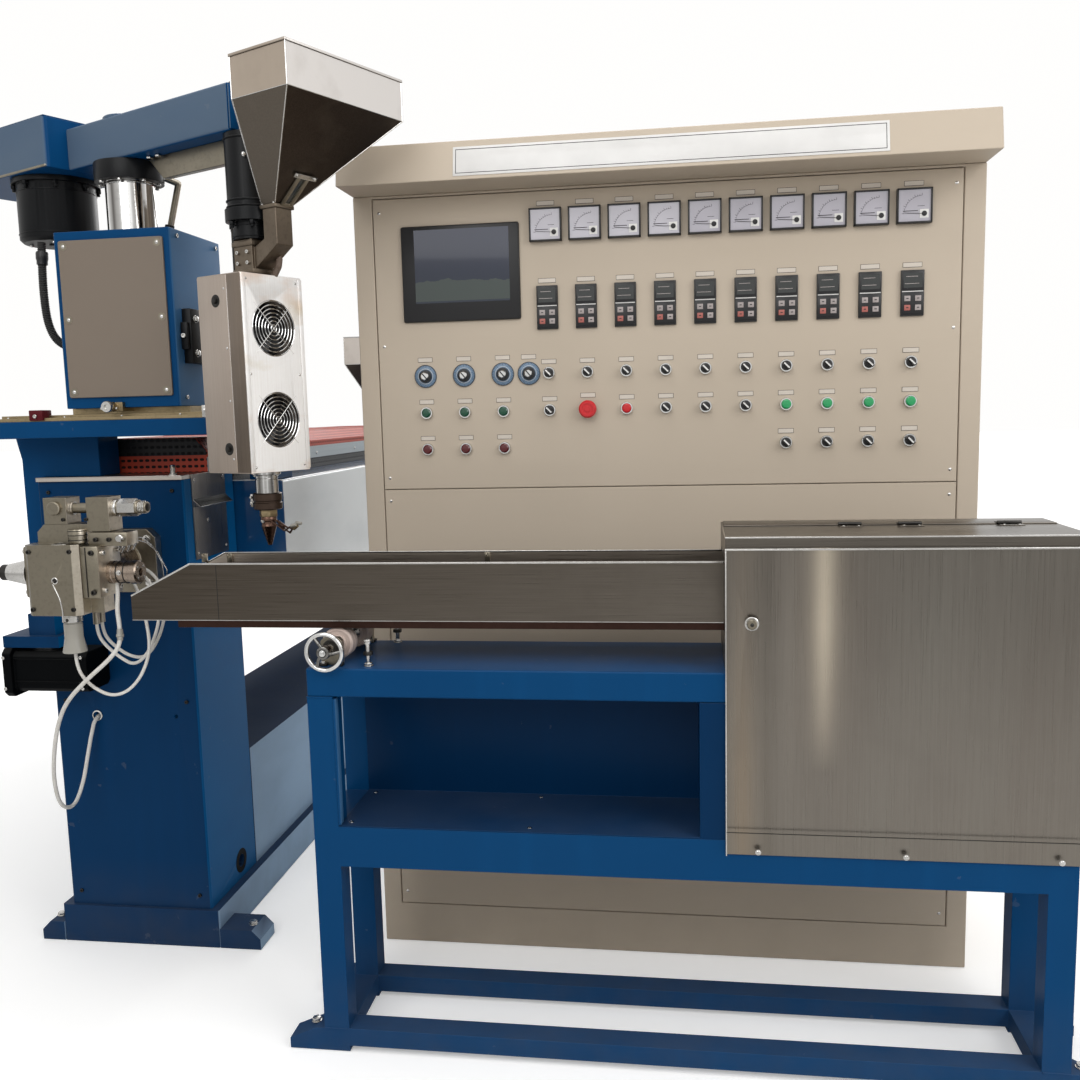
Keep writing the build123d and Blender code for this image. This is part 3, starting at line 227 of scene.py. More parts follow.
def tankPaintedReflection(f, tone):    # painted reflections: a bright upright band with fainter ones at its left, and a warmer tone low on its front
    x, z = f.axis("X"), f.axis("Z")
    front = f.facing(outFront)
    fade = ((z - 0.62) * 3.6).held() * front
    bands = (    # painted reflection bands: place along the line, width, how far it shows, tone
        (1.497, 0.022, front * 0.25, (0.085, 0.075, 0.062)),
        (1.452, 0.03, front * (1.0 - fade * 0.6) * 0.6, (0.24, 0.185, 0.13)),
        (1.535, 0.024, ((z - 0.5) * 3.0).held() * front * 0.7, (0.21, 0.19, 0.165)),
        (1.597, 0.028, fade, (0.56, 0.49, 0.39)),
    )
    for centre, width, shows, shade in bands:
        tone = f.mix((f.ridge(x, centre, width) * shows).held(), tone, shade)
    return f.mix(((0.56 - z) * 2.5).held() * front * 0.35, tone, (0.19, 0.175, 0.14))


def troughPaintedLightAndShade(f, tone):    # painted shade where it hangs by the head, lighter along the line; painted light on the inner rear wall, painted shade underneath
    near = ((f.axis("X") - 0.25) * 0.8).held()
    dark = f.mix(((1.0 - near) * 0.75).held(), tone, (0.048, 0.037, 0.026))
    inside = (f.axis("Y") > -0.3) * f.facing(outFront)
    dark = f.mix(inside, dark, (0.52, 0.45, 0.38))
    return f.mix(f.facing(down), dark, (0.055, 0.028, 0.02))


def slopePaintedShadeAndHighlight(f, tone):    # painted shade on slopes that look down, darkest on the side along the arm; a painted highlight on that side where it looks less down
    under = (f.facing(down) * 2.2).held()
    side = f.facing(alongArm)
    dark = f.mix(under, tone, (0.115, 0.098, 0.08))
    dark = f.mix((under * side * 1.4).held(), dark, (0.046, 0.035, 0.029))
    lit = (side * (1.0 - under) * 1.2).held()
    return f.mix(lit, dark, (0.64, 0.61, 0.585))


fanMiddle = (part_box("fan_box")[0].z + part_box("fan_box")[1].z) / 2


def fanPaintedSheen(f, tone):    # painted sheen on the fan side that faces the light, in smears with greenish and warm tints
    lit = ((f.facing(alongArm) - 0.6) * 4.0).held()
    ends = (f.axis("Z") - fanMiddle) * 5.0    # the painted sheen is brightest in the middle of the face
    smear = ((f.noise(7.0, (1, 1, 2.0), 6.0) - 0.53 + ends * ends * 0.1) * 5.0).held()
    green = ((f.noise(4.5, detail=4.0) - 0.5) * 4.0).held()
    pale = f.mix(smear, (0.99, 0.985, 0.975), f.mix(green, (0.8, 0.62, 0.5), (0.74, 0.76, 0.6)))
    return f.mix(lit, tone, pale)


def headPaintedHighlight(f, tone):    # painted highlight on the side toward the line
    lit = ((f.facing(outAlong) - 0.5) * 2.0).held() * (0.55 + f.noise(18.0, (1, 1, 3), 5.0) * 0.5)
    return f.mix((lit * 0.75).held(), tone, (0.95, 0.86, 0.74))


def columnPaintedReflection(f, tone):    # painted reflections: a polished column shows its surroundings as upright stripes
    way = f.facing((0.28, -0.96, 0.0))
    stripes = (f.ridge(way, 0.84, 0.09) + f.ridge(way, 0.3, 0.14)).held()
    tone = f.mix(stripes * 0.9, tone, (0.085, 0.078, 0.072))
    tone = f.mix(((f.noise(30.0, (1, 1, 0.02), 2.0) - 0.5) * 6.0).held() * 0.5, tone, (0.22, 0.21, 0.2))
    return f.mix(f.ridge(way, 0.985, 0.018) + f.ridge(way, 0.62, 0.06) * 0.7, tone, (0.95, 0.95, 0.94))


def worked(name, colour, dark, roughness=0.3, scale=60.0, metallic=1.0, paintedLight=None):
    f = Finish(name)
    clouds = f.noise(scale * 0.3, detail=6.0)
    specks = (f.noise(scale * 3.0, detail=8.0) - 0.5).held() * 2.4
    tone = f.mix((clouds - 0.2).held(), colour, dark)
    # where given, a function lays painted light and shade into the tone
    if paintedLight:
        tone = paintedLight(f, tone)
    tone = f.mix((specks * 0.4).held(), tone, tuple(0.4 * c for c in dark))
    rough = roughness + (clouds - 0.5) * 0.25 + specks * 0.12
    height = f.noise(scale * 4.0, detail=4.0) + clouds
    return f.shade(tone, rough, metallic=metallic, normal=f.bump(height, 0.3, 0.0006))


def moulded(name, colour, roughness=0.4, grain=700.0, coat=0.0, glow=0.0, specular=0.35, dusty=0.22):
    f = Finish(name)
    clouds = f.noise(14.0, detail=4.0)
    tone = f.mix(clouds, tuple(min(1.0, 1.12 * c) for c in colour), tuple(0.86 * c for c in colour))
    dust = f.facing() * f.noise(30.0, detail=6.0) * dusty
    tone = f.mix(dust, tone, (0.3, 0.29, 0.27))
    rough = roughness + (clouds - 0.5) * 0.12 + dust
    rest = {"coat": coat, "specular": specular, "normal": f.bump(f.noise(grain, detail=1.0), 0.12, 0.0004)}
    if glow:
        rest.update(glow=colour, glowStrength=glow)
    return f.shade(tone, rough, **rest)


def perforated(name, colour, pitch):    # painted sheen low on its side, painted shade at its foot and at the top of its end
    f = Finish(name)
    z = f.axis("Z")
    ways = [(f.axis(way) * (pi / pitch)).maths("SINE", 0.0) for way in "XY"]
    upright = (z * (pi / pitch)).maths("SINE", 0.0)
    level = f.facing() > 0.5
    holes = (ways[0] * ways[1]) * level + (ways[1] * upright + ways[0] * upright) * (1.0 - level) > 0.42
    tone = f.mix(f.noise(8.0, detail=5.0), colour, tuple(0.6 * c for c in colour))
    tone = f.mix(holes, tone, (0.012, 0.008, 0.007))
    side = f.facing(outAlong) > 0.9
    end = f.facing(outFront) > 0.9
    tone = f.mix(side * (z < 1.202), tone, (0.46, 0.51, 0.53))
    tone = f.mix(end * (z > 1.207), tone, (0.006, 0.006, 0.008))
    tone = f.mix(z < 1.1655, tone, (0.006, 0.006, 0.008))
    return f.shade(tone, 0.42 + holes * 0.4, normal=f.bump(1.0 - holes, 0.6, 0.001), specular=0.3)


def braided(name, colour, width):
    f = Finish(name)
    cells = f.add("TexVoronoi", {"feature": "F1"}, {"Vector": f.spot, "Scale": 1.0 / width})
    wear = f.noise(60.0, detail=5.0)
    tone = f.mix((cells * 0.8).held(), colour, tuple(0.66 * c for c in colour))
    tone = f.mix(((wear - 0.5) * 1.6).held(), tone, (0.45, 0.4, 0.33))
    return f.shade(tone, 0.72, normal=f.bump(1.0 - cells, 0.7, 0.0006))


deepBlue, shadeBlue = (0.0024, 0.052, 0.152), (0.0016, 0.039, 0.122)
# A darker copy of the blue enamel's colours, for painted shade.
paintedShadeBlue, paintedShadeDarkBlue = (0.0018, 0.034, 0.104), (0.0012, 0.025, 0.08)
bluePaint = enamel("blue enamel", deepBlue, shadeBlue)
# Pedestal: painted shade, and painted light on its side toward the line.
pedestalPaintedShadeAndLight = enamel("blue enamel, painted shade, side painted lit", paintedShadeBlue, paintedShadeDarkBlue, glare=(outAlong, (0.0025, 0.115, 0.32), 1.0))
# Base frame: painted shade, with a pale painted sheen on its side toward the line.
basePaintedShadeAndSheen = enamel("blue enamel, base, painted shade, side painted sheen", paintedShadeBlue, paintedShadeDarkBlue, glare=(outAlong, (0.32, 0.47, 0.66), 0.95))
trayPaint = enamel("blue enamel, tray", (0.0013, 0.026, 0.08), (0.001, 0.02, 0.066))
armPaint = enamel("blue enamel, lit", deepBlue, shadeBlue, glare=(towardFront, (0.085, 0.125, 0.18), 0.95))
# Column box: a pale painted sheen on its side toward the line.
boxPaint = enamel("blue enamel, box, side painted sheen", deepBlue, shadeBlue, glare=(outAlong, (0.065, 0.17, 0.33), 0.75))
# Machine bed and gearbox: a near-white painted sheen on their side toward the line.
bedPaint = enamel("blue enamel, bed, side painted sheen", deepBlue, shadeBlue, 0.16, 0.5, 1.0,
                  (outAlong, (0.72, 0.77, 0.8), 1.0))
cabinetPaint = powderCoat("cabinet paint", (0.49, 0.418, 0.334), (0.432, 0.364, 0.286))
coverPaint = powderCoat("cover paint", (0.185, 0.15, 0.119), (0.16, 0.129, 0.101))
steelAlongX = brushed("stainless, grain along the line", (0.15, 0.132, 0.112), (0.108, 0.093, 0.078), "x",
                      paintedLight=troughPaintedLightAndShade)
steelUpright = brushed("stainless, upright grain", (0.181, 0.168, 0.147), (0.157, 0.137, 0.119), "z",
                       paintedLight=tankPaintedReflection, stain=0.12)
lidSteel = brushed("stainless lid", (0.15, 0.135, 0.117), (0.108, 0.096, 0.082), "x")
hopperSteel = brushed("hopper sheet", (0.42, 0.355, 0.29), (0.33, 0.275, 0.222), "z", 0.34,
                      paintedLight=slopePaintedShadeAndHighlight, grain=0.12)
fanSteel = brushed("fan housing sheet", (0.36, 0.305, 0.26), (0.27, 0.222, 0.185), "z", 0.36, stain=0.15,
                   paintedLight=fanPaintedSheen, metallic=0.4)
fanShade = brushed("fan housing, shaded", (0.2, 0.165, 0.135), (0.13, 0.103, 0.082), "z", 0.36, stain=0.3)
plateSteel = brushed("splash sheet", (0.34, 0.315, 0.29), (0.16, 0.142, 0.125), "z", 0.3, stain=0.5)
feedSteel = worked("feed casting", (0.17, 0.138, 0.105), (0.085, 0.066, 0.05), 0.4, 40.0)
headSteel = worked("nickelled steel", (0.25, 0.225, 0.175), (0.15, 0.13, 0.1), 0.34, 40.0,
                   paintedLight=headPaintedHighlight)
brightSteel = worked("bright steel", (0.62, 0.61, 0.59), (0.36, 0.35, 0.33), 0.2, 90.0)
darkSteel = worked("dark steel", (0.05, 0.048, 0.045), (0.022, 0.02, 0.019), 0.42, 60.0)
copperSteel = worked("heat-tinted steel", (0.33, 0.27, 0.22), (0.12, 0.092, 0.075), 0.26, 60.0)
chrome = worked("chrome", (0.7, 0.7, 0.69), (0.5, 0.5, 0.49), 0.08, 20.0)
columnChrome = worked("polished column", (0.5, 0.49, 0.475), (0.42, 0.41, 0.4), 0.1, 20.0,
                      paintedLight=columnPaintedReflection)
bandSteel = worked("heater band", (0.075, 0.052, 0.04), (0.028, 0.02, 0.017), 0.34, 50.0)
tipSteel = worked("heat-darkened tip", (0.13, 0.075, 0.055), (0.035, 0.022, 0.018), 0.28, 50.0)
darkChrome = worked("shaded chrome", (0.2, 0.195, 0.185), (0.07, 0.068, 0.064), 0.16, 30.0)
railSteel = worked("reddish rail", (0.05, 0.026, 0.02), (0.022, 0.014, 0.012), 0.36, 30.0)
brass = worked("dull brass", (0.33, 0.26, 0.15), (0.2, 0.155, 0.095), 0.38, 50.0)
blackPaint = enamel("black enamel", (0.0065, 0.007, 0.008), (0.003, 0.0034, 0.004), 0.36, 0.14)
deepBlack = enamel("deep black enamel", (0.0028, 0.0034, 0.004), (0.0014, 0.0016, 0.002), 0.4, 0.03)
guardPaint = perforated("perforated guard", (0.58, 0.07, 0.034), 0.008)
blackPlastic = moulded("black plastic", (0.012, 0.012, 0.013), 0.38, dusty=0.1)
nylon = moulded("white nylon", (0.62, 0.5, 0.44), 0.42, 300.0)
rubber = moulded("black rubber", (0.014, 0.014, 0.014), 0.6, 400.0)
porcelain = moulded("porcelain", (0.28, 0.268, 0.235), 0.25, 200.0, 0.4)
glassFibre = braided("glass-fibre sleeve", (0.74, 0.72, 0.68), 0.0016)
redPlastic = moulded("red plastic", (0.5, 0.01, 0.014), 0.32, coat=0.3, dusty=0.05)
darkRedPlastic = moulded("dark red lens", (0.085, 0.006, 0.008), 0.22, coat=0.5, dusty=0.05)
greenPlastic = moulded("green lens", (0.018, 0.3, 0.1), 0.22, coat=0.5, dusty=0.05)
darkGreenPlastic = moulded("dark green lens", (0.004, 0.06, 0.03), 0.22, coat=0.5, dusty=0.05)
whiteMark = moulded("white mark", (0.7, 0.69, 0.67), 0.5, dusty=0.0)
blackMark = moulded("black mark", (0.016, 0.015, 0.016), 0.5, dusty=0.0)
dialFace = moulded("grey-blue dial", (0.13, 0.2, 0.29), 0.32, dusty=0.0)
meterFace = moulded("meter face", (0.4, 0.385, 0.43), 0.35, coat=0.6, dusty=0.0)
labelPlate = moulded("label plate", (0.56, 0.505, 0.44), 0.4, dusty=0.0)
signPlate = moulded("sign plate", (0.6, 0.59, 0.575), 0.3, coat=0.3, dusty=0.0)
keyPlastic = moulded("grey keys", (0.34, 0.3, 0.29), 0.42, dusty=0.0)
redKey = moulded("reddish keys", (0.36, 0.11, 0.09), 0.42, dusty=0.0)
wineBlock = enamel("wine-red end block", (0.1, 0.012, 0.016), (0.06, 0.008, 0.012))
guardEdge = enamel("guard edge", (0.36, 0.045, 0.022), (0.26, 0.032, 0.016))
hoseBrown = moulded("brown hose", (0.12, 0.085, 0.065), 0.45)
print("finishes made:", len(bpy.data.materials))


# Shapes laid into bm, the piece under construction. Each takes the number of its material.
bm = bmesh.new()


def tinted(made, tint):
    for face in {face for vertex in made for face in vertex.link_faces}:
        face.material_index = tint
    return made


def block(low, high, round=0.0, tint=0):
    low, high = Vector(low), Vector(high)
    made = bmesh.ops.create_cube(bm, size=1.0)["verts"]
    bmesh.ops.scale(bm, vec=high - low, verts=made)
    if round:
        edges = list({edge for vertex in made for edge in vertex.link_edges})
        made = bmesh.ops.bevel(bm, geom=made + edges, offset=round, segments=2, profile=0.5,
                               affect="EDGES", material=-1)["verts"]
    bmesh.ops.translate(bm, vec=(low + high) / 2, verts=made)
    return tinted(made, tint)


def laid(place, low, high, round=0.0, tint=0):    # a block in a turned place
    bmesh.ops.transform(bm, matrix=place, verts=block(low, high, round, tint))


def aimed(start, way):    # the place of a shape made along +Z
    return Matrix.Translation(Vector(start)) @ Vector(way).to_track_quat("Z", "Y").to_matrix().to_4x4()


def drum(radius, length, start, way, round=0.0, tint=0, sides=32, endRadius=None):
    made = bmesh.ops.create_cone(bm, cap_ends=True, segments=sides, radius1=radius, depth=length,
                                 radius2=radius if endRadius is None else endRadius)["verts"]
    if round:
        rims = [edge for edge in {edge for vertex in made for edge in vertex.link_edges}
                if edge.verts[0].co.z * edge.verts[1].co.z > 0]
        kept = set(bm.verts) - set(made)
        bmesh.ops.bevel(bm, geom=rims, offset=round, segments=2, profile=0.5, affect="EDGES", material=-1)
        made = [vertex for vertex in bm.verts if vertex not in kept]
    bmesh.ops.translate(bm, vec=(0, 0, length / 2), verts=made)
    bmesh.ops.transform(bm, matrix=aimed(start, way), verts=made)
    return tinted(made, tint)


def lathe(outline, start, way, tint=0, steps=40):    # (distance along, radius) points
    line = [bm.verts.new((radius, 0, distance)) for distance, radius in outline]
    edges = [bm.edges.new(pair) for pair in zip(line, line[1:])]
    kept = set(bm.verts) - set(line)
    bmesh.ops.spin(bm, geom=line + edges, cent=(0, 0, 0), axis=(0, 0, 1), angle=2 * pi,
                   steps=steps, use_merge=True)
    made = [vertex for vertex in bm.verts if vertex not in kept]
    bmesh.ops.remove_doubles(bm, verts=made, dist=1e-6)
    made = [vertex for vertex in bm.verts if vertex not in kept]
    bmesh.ops.transform(bm, matrix=aimed(start, way), verts=made)
    return tinted(made, tint)


def sleeve(inner, outer, long, start, way, tint=0, steps=32):    # a plain tube
    lathe([(0, inner), (0, outer), (long, outer), (long, inner)], start, way, tint, steps)


def hoop(radius, wire, centre, way, tint=0, steps=40, sides=8):    # a ring of round wire
    ring = bmesh.ops.create_circle(bm, radius=wire, segments=sides)["verts"]
    bmesh.ops.rotate(bm, cent=(0, 0, 0), matrix=Matrix.Rotation(pi / 2, 3, "X"), verts=ring)
    bmesh.ops.translate(bm, vec=(radius, 0, 0), verts=ring)
    kept = set(bm.verts) - set(ring)
    edges = list({edge for vertex in ring for edge in vertex.link_edges})
    bmesh.ops.spin(bm, geom=ring + edges, cent=(0, 0, 0), axis=(0, 0, 1), angle=2 * pi,
                   steps=steps, use_merge=True)
    made = [vertex for vertex in bm.verts if vertex not in kept]
    bmesh.ops.transform(bm, matrix=aimed(centre, way), verts=made)
    return tinted(made, tint)


def wire(points, radius, tint=0, sides=8):    # a stiff wire bent through a few points
    for start, end in zip(points, points[1:]):
        start, end = Vector(start), Vector(end)
        drum(radius, (end - start).length, start, end - start, 0, tint, sides)
    for point in points[1:-1]:
        ball = bmesh.ops.create_icosphere(bm, subdivisions=1, radius=radius * 1.02)["verts"]
        bmesh.ops.translate(bm, vec=Vector(point), verts=ball)
        tinted(ball, tint)


def hexBolt(place, way, size=0.008, tint=0):    # washer, hexagon and a short thread end
    place, way = Vector(place), Vector(way).normalized()
    drum(size * 1.05, size * 0.16, place, way, size * 0.03, tint, 20)
    drum(size * 0.9, size * 0.62, place + way * size * 0.16, way, size * 0.07, tint, 6)
    drum(size * 0.62, size * 0.08, place + way * size * 0.76, way, size * 0.03, tint, 16)


def socketBolt(place, way, size=0.006, tint=0):    # a round head with its hexagon socket
    lathe([(0, 0), (0, size), (size * 0.9, size), (size * 1.05, size * 0.88),
               (size * 1.05, size * 0.5), (size * 0.5, size * 0.5), (size * 0.5, 0)], place, way, tint, 18)


def panScrew(place, way, size=0.004, tint=0):    # a domed head with a slot across
    drum(size * 1.25, size * 0.14, place, way, size * 0.03, tint, 16)
    lathe([(0, size), (size * 0.25, size * 0.95), (size * 0.5, size * 0.6), (size * 0.58, 0)],
          place, way, tint, 16)


def sharpened(mesh, angle=32):
    for face in mesh.polygons:
        face.use_smooth = True
    mesh.set_sharp_from_angle(angle=radians(angle))


# A piece moves with the body of the CAD part that it belongs to, and may stand for that part
def placed(piece, part, instead):
    scene.collection.objects.link(piece)
    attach(piece, nodes[part]["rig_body"])
    if instead:
        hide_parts(part)
    return piece


def finished(name, part, materials, instead=False, turn=None, angle=32):    # bm made a piece, and cleared
    if turn:
        bmesh.ops.transform(bm, matrix=turn, verts=bm.verts)
    bmesh.ops.recalc_face_normals(bm, faces=bm.faces)
    mesh = bpy.data.meshes.new(name)
    bm.to_mesh(mesh)
    bm.clear()
    for material in materials:
        mesh.materials.append(material)
    sharpened(mesh, angle)
    return placed(bpy.data.objects.new(name, mesh), part, instead)


def softened(name, material, width, angle=25):    # a CAD part with its edges rounded
    mesh = nodes[name].data.copy()
    bm = bmesh.new()
    bm.from_mesh(mesh)
    bmesh.ops.remove_doubles(bm, verts=bm.verts, dist=2e-5)
    bmesh.ops.dissolve_limit(bm, angle_limit=radians(0.5), verts=bm.verts, edges=bm.edges)
    bm.to_mesh(mesh)
    bm.free()
    mesh.materials.clear()
    mesh.materials.append(material)
    piece = placed(bpy.data.objects.new(name + ".finished", mesh), name, True)
    rounding = piece.modifiers.new("edges", "BEVEL")
    rounding.width = width
    rounding.segments = 2
    rounding.limit_method = "ANGLE"
    rounding.angle_limit = radians(angle)
    rounding.harden_normals = True
    sharpened(mesh, angle)


def axisOf(low, high):    # the upright line through the middle of a box
    return Vector(((low.x + high.x) / 2, (low.y + high.y) / 2, 0))


# The corners of each loose solid of a CAD part, in their order along an axis
def solidsOf(name, order=0, turn=None):
    bm = bmesh.new()
    bm.from_mesh(nodes[name].data)
    bmesh.ops.remove_doubles(bm, verts=bm.verts, dist=1e-5)
    if turn:
        bmesh.ops.transform(bm, matrix=turn.inverted(), verts=bm.verts)
    left = set(bm.verts)
    boxes = []
    while left:
        reached = [left.pop()]
        for vertex in reached:
            for edge in vertex.link_edges:
                other = edge.other_vert(vertex)
                if other in left:
                    left.remove(other)
                    reached.append(other)
        low = Vector(min(vertex.co[i] for vertex in reached) for i in range(3))
        high = Vector(max(vertex.co[i] for vertex in reached) for i in range(3))
        boxes.append((low, high))
    bm.free()
    return sorted(boxes, key=lambda box: box[0][order])


# Camera, studio and floor
cameraView = {
    "place": (1.3552, -2.3403, 1.2951), "pan": 0.1441,
    "tilt": pi / 2 - 0.1249,
    "roll": -0.0251, "lens": 34.388,
}
camera = bpy.data.objects.new("camera", bpy.data.cameras.new("camera"))
camera.data.lens = cameraView["lens"]
camera.data.sensor_width = 36.0
camera.matrix_world = (Matrix.Translation(cameraView["place"])
                       @ Matrix.Rotation(cameraView["pan"], 4, "Z")
                       @ Matrix.Rotation(cameraView["tilt"], 4, "X")
                       @ Matrix.Rotation(cameraView["roll"], 4, "Z"))
scene.collection.objects.link(camera)
scene.camera = camera
scene.view_settings.view_transform = "Standard"

studio = {
    "dayLight": 0.56,
    "softBoxes": [    # place, aim, size, power
        ((0.2, -3.8, 3.4), (1.2, 0.2, 0.9), 2.6, 62.0),
        ((4.0, -2.2, 2.8), (1.2, 0.3, 0.9), 2.2, 55.0),
        ((1.1, -0.3, 4.2), (1.1, 0.2, 0.6), 3.0, 55.0),
        ((0.6, 5.8, 3.6), (0.6, 1.2, 0.9), 3.0, 90.0),
    ],
    "floorSpan": 40.0,
}
scene.world = bpy.data.worlds.new("studio")
scene.world.use_nodes = True
worldTree = scene.world.node_tree
worldTree.nodes.clear()
Wire.tree = worldTree
rays = worldTree.nodes.new("ShaderNodeLightPath")
seen = (Wire(rays.outputs["Is Camera Ray"]) + Wire(rays.outputs["Is Glossy Ray"])
        + Wire(rays.outputs["Is Transmission Ray"])).held()
level = seen * (1.0 - studio["dayLight"]) + studio["dayLight"]
sky = worldTree.nodes.new("ShaderNodeBackground")
sky.inputs["Color"].default_value = (1.0, 0.995, 0.985, 1.0)
worldTree.links.new(level.socket, sky.inputs["Strength"])
worldEnd = worldTree.nodes.new("ShaderNodeOutputWorld")
worldTree.links.new(sky.outputs[0], worldEnd.inputs["Surface"])

for place, aim, size, power in studio["softBoxes"]:
    lamp = bpy.data.objects.new("soft box", bpy.data.lights.new("soft box", "AREA"))
    lamp.data.shape = "SQUARE"
    lamp.data.size = size
    lamp.data.energy = power
    lamp.matrix_world = aimed(place, Vector(place) - Vector(aim))
    scene.collection.objects.link(lamp)

floorFinish = Finish("pale floor")
floorRays = floorFinish.add("LightPath", output="Is Camera Ray")
across, back = floorFinish.axis("X") - 0.9, floorFinish.axis("Y") - 0.2
far = (((across * across + back * back) ** 0.5 - 2.2) / 3.5).held()
floorMaterial = floorFinish.shade((0.86, 0.855, 0.845), 0.8, glow=floorRays * (0.3 + far * 0.4),
                                    glowStrength=1.0)
bmesh.ops.create_grid(bm, x_segments=1, y_segments=1, size=studio["floorSpan"])
bmesh.ops.translate(bm, vec=(0.8, 1.2, -0.0015), verts=bm.verts)
floorMesh = bpy.data.meshes.new("floor")
bm.to_mesh(floorMesh)
bm.clear()
floorMesh.materials.append(floorMaterial)
floor = bpy.data.objects.new("floor", floorMesh)
scene.collection.objects.link(floor)
print("camera, lamps and floor placed")


# Leads of glass-fibre sleeve: the routes of their centre lines, in metres
leadRoutes = {
    "long_lead": [
        (0.148, -0.3175, 0.9547), (0.148, -0.3175, 0.929), (0.151, -0.331, 0.897), (0.163, -0.345, 0.862),
        (0.168, -0.358, 0.826), (0.146, -0.366, 0.797), (0.096, -0.368, 0.757), (0.032, -0.353, 0.702),
        (-0.013, -0.325, 0.64), (-0.052, -0.29, 0.56), (-0.084, -0.252, 0.481), (-0.1, -0.212, 0.405),
        (-0.104, -0.155, 0.38), (-0.101, -0.115, 0.425), (-0.093, -0.098, 0.495), (-0.083, -0.092, 0.545),
        (-0.077, -0.08, 0.583), (-0.077, -0.042, 0.583),
    ],
    "front_lead": [
        (0.06, -0.35, 0.8097), (0.06, -0.35, 0.784), (0.068, -0.344, 0.751), (0.095, -0.338, 0.723),
        (0.129, -0.335, 0.709), (0.163, -0.329, 0.719), (0.19, -0.317, 0.752), (0.204, -0.303, 0.802),
        (0.192, -0.285, 0.85), (0.17, -0.263, 0.897), (0.146, -0.243, 0.938), (0.112, -0.225, 0.968),
        (0.0823, -0.225, 0.968),
    ],
    "side_lead": [
        (0.084, -0.3015, 0.8597), (0.084, -0.3015, 0.836), (0.102, -0.298, 0.808), (0.13, -0.293, 0.782),
        (0.155, -0.288, 0.766), (0.179, -0.28, 0.782), (0.197, -0.268, 0.822), (0.205, -0.256, 0.864),
        (0.196, -0.242, 0.906), (0.166, -0.22, 0.944), (0.12, -0.2, 0.968), (0.0823, -0.2, 0.968),
    ],
    "back_lead": [
        (0.084, -0.2805, 0.8597), (0.084, -0.2805, 0.834), (0.108, -0.276, 0.803), (0.14, -0.27, 0.78),
        (0.17, -0.263, 0.777), (0.192, -0.254, 0.806), (0.207, -0.243, 0.85), (0.206, -0.228, 0.896),
        (0.18, -0.203, 0.942), (0.127, -0.175, 0.968), (0.0823, -0.175, 0.968),
    ],
    "sensor_lead": [
        (0.044, -0.3656, 0.967), (0.044, -0.386, 0.967), (0.056, -0.401, 0.96), (0.071, -0.407, 0.938),
        (0.075, -0.405, 0.91), (0.067, -0.394, 0.886), (0.06, -0.384, 0.878), (0.06, -0.3673, 0.878),
    ],
}
leadFacts = {    # length and diameter of each
    "long_lead": (0.989, 0.009), "front_lead": (0.5025, 0.007), "side_lead": (0.43, 0.007),
    "back_lead": (0.43, 0.007), "sensor_lead": (0.1515, 0.003),
}
connector = {
    "outline": [(0, 0.004), (0, 0.0062), (0.01, 0.0066), (0.011, 0.008), (0.016, 0.008), (0.017, 0.006),
                (0.024, 0.0056), (0.024, 0.004)],
    "place": (0.1635, -0.3465, 0.858), "way": (0.14, -0.32, -0.94),
}


def smoothLine(name, route, resolution):
    curve = bpy.data.curves.new(name, "CURVE")
    curve.dimensions = "3D"
    line = curve.splines.new("NURBS")
    line.points.add(len(route) - 1)
    for point, place in zip(line.points, route):
        point.co = (*place, 1.0)
    line.order_u = 3
    line.use_endpoint_u = True
    line.resolution_u = resolution
    return curve


for name, route in leadRoutes.items():
    length, diameter = leadFacts[name]
    curve = smoothLine(name + ".sleeve", route, 10)
    curve.bevel_depth = diameter / 2
    curve.bevel_resolution = 4
    curve.use_fill_caps = True
    curve.materials.append(brightSteel if name == "sensor_lead" else glassFibre)
    lead = placed(bpy.data.objects.new(name + ".sleeve", curve), name, True)
    pieces = ()
    if name == "long_lead":    # a white connector on it
        lathe(connector["outline"], connector["place"], connector["way"], 0, 20)
        pieces = (finished("lead.connector", name, [porcelain]),)
print("leads laid:", len(leadRoutes))


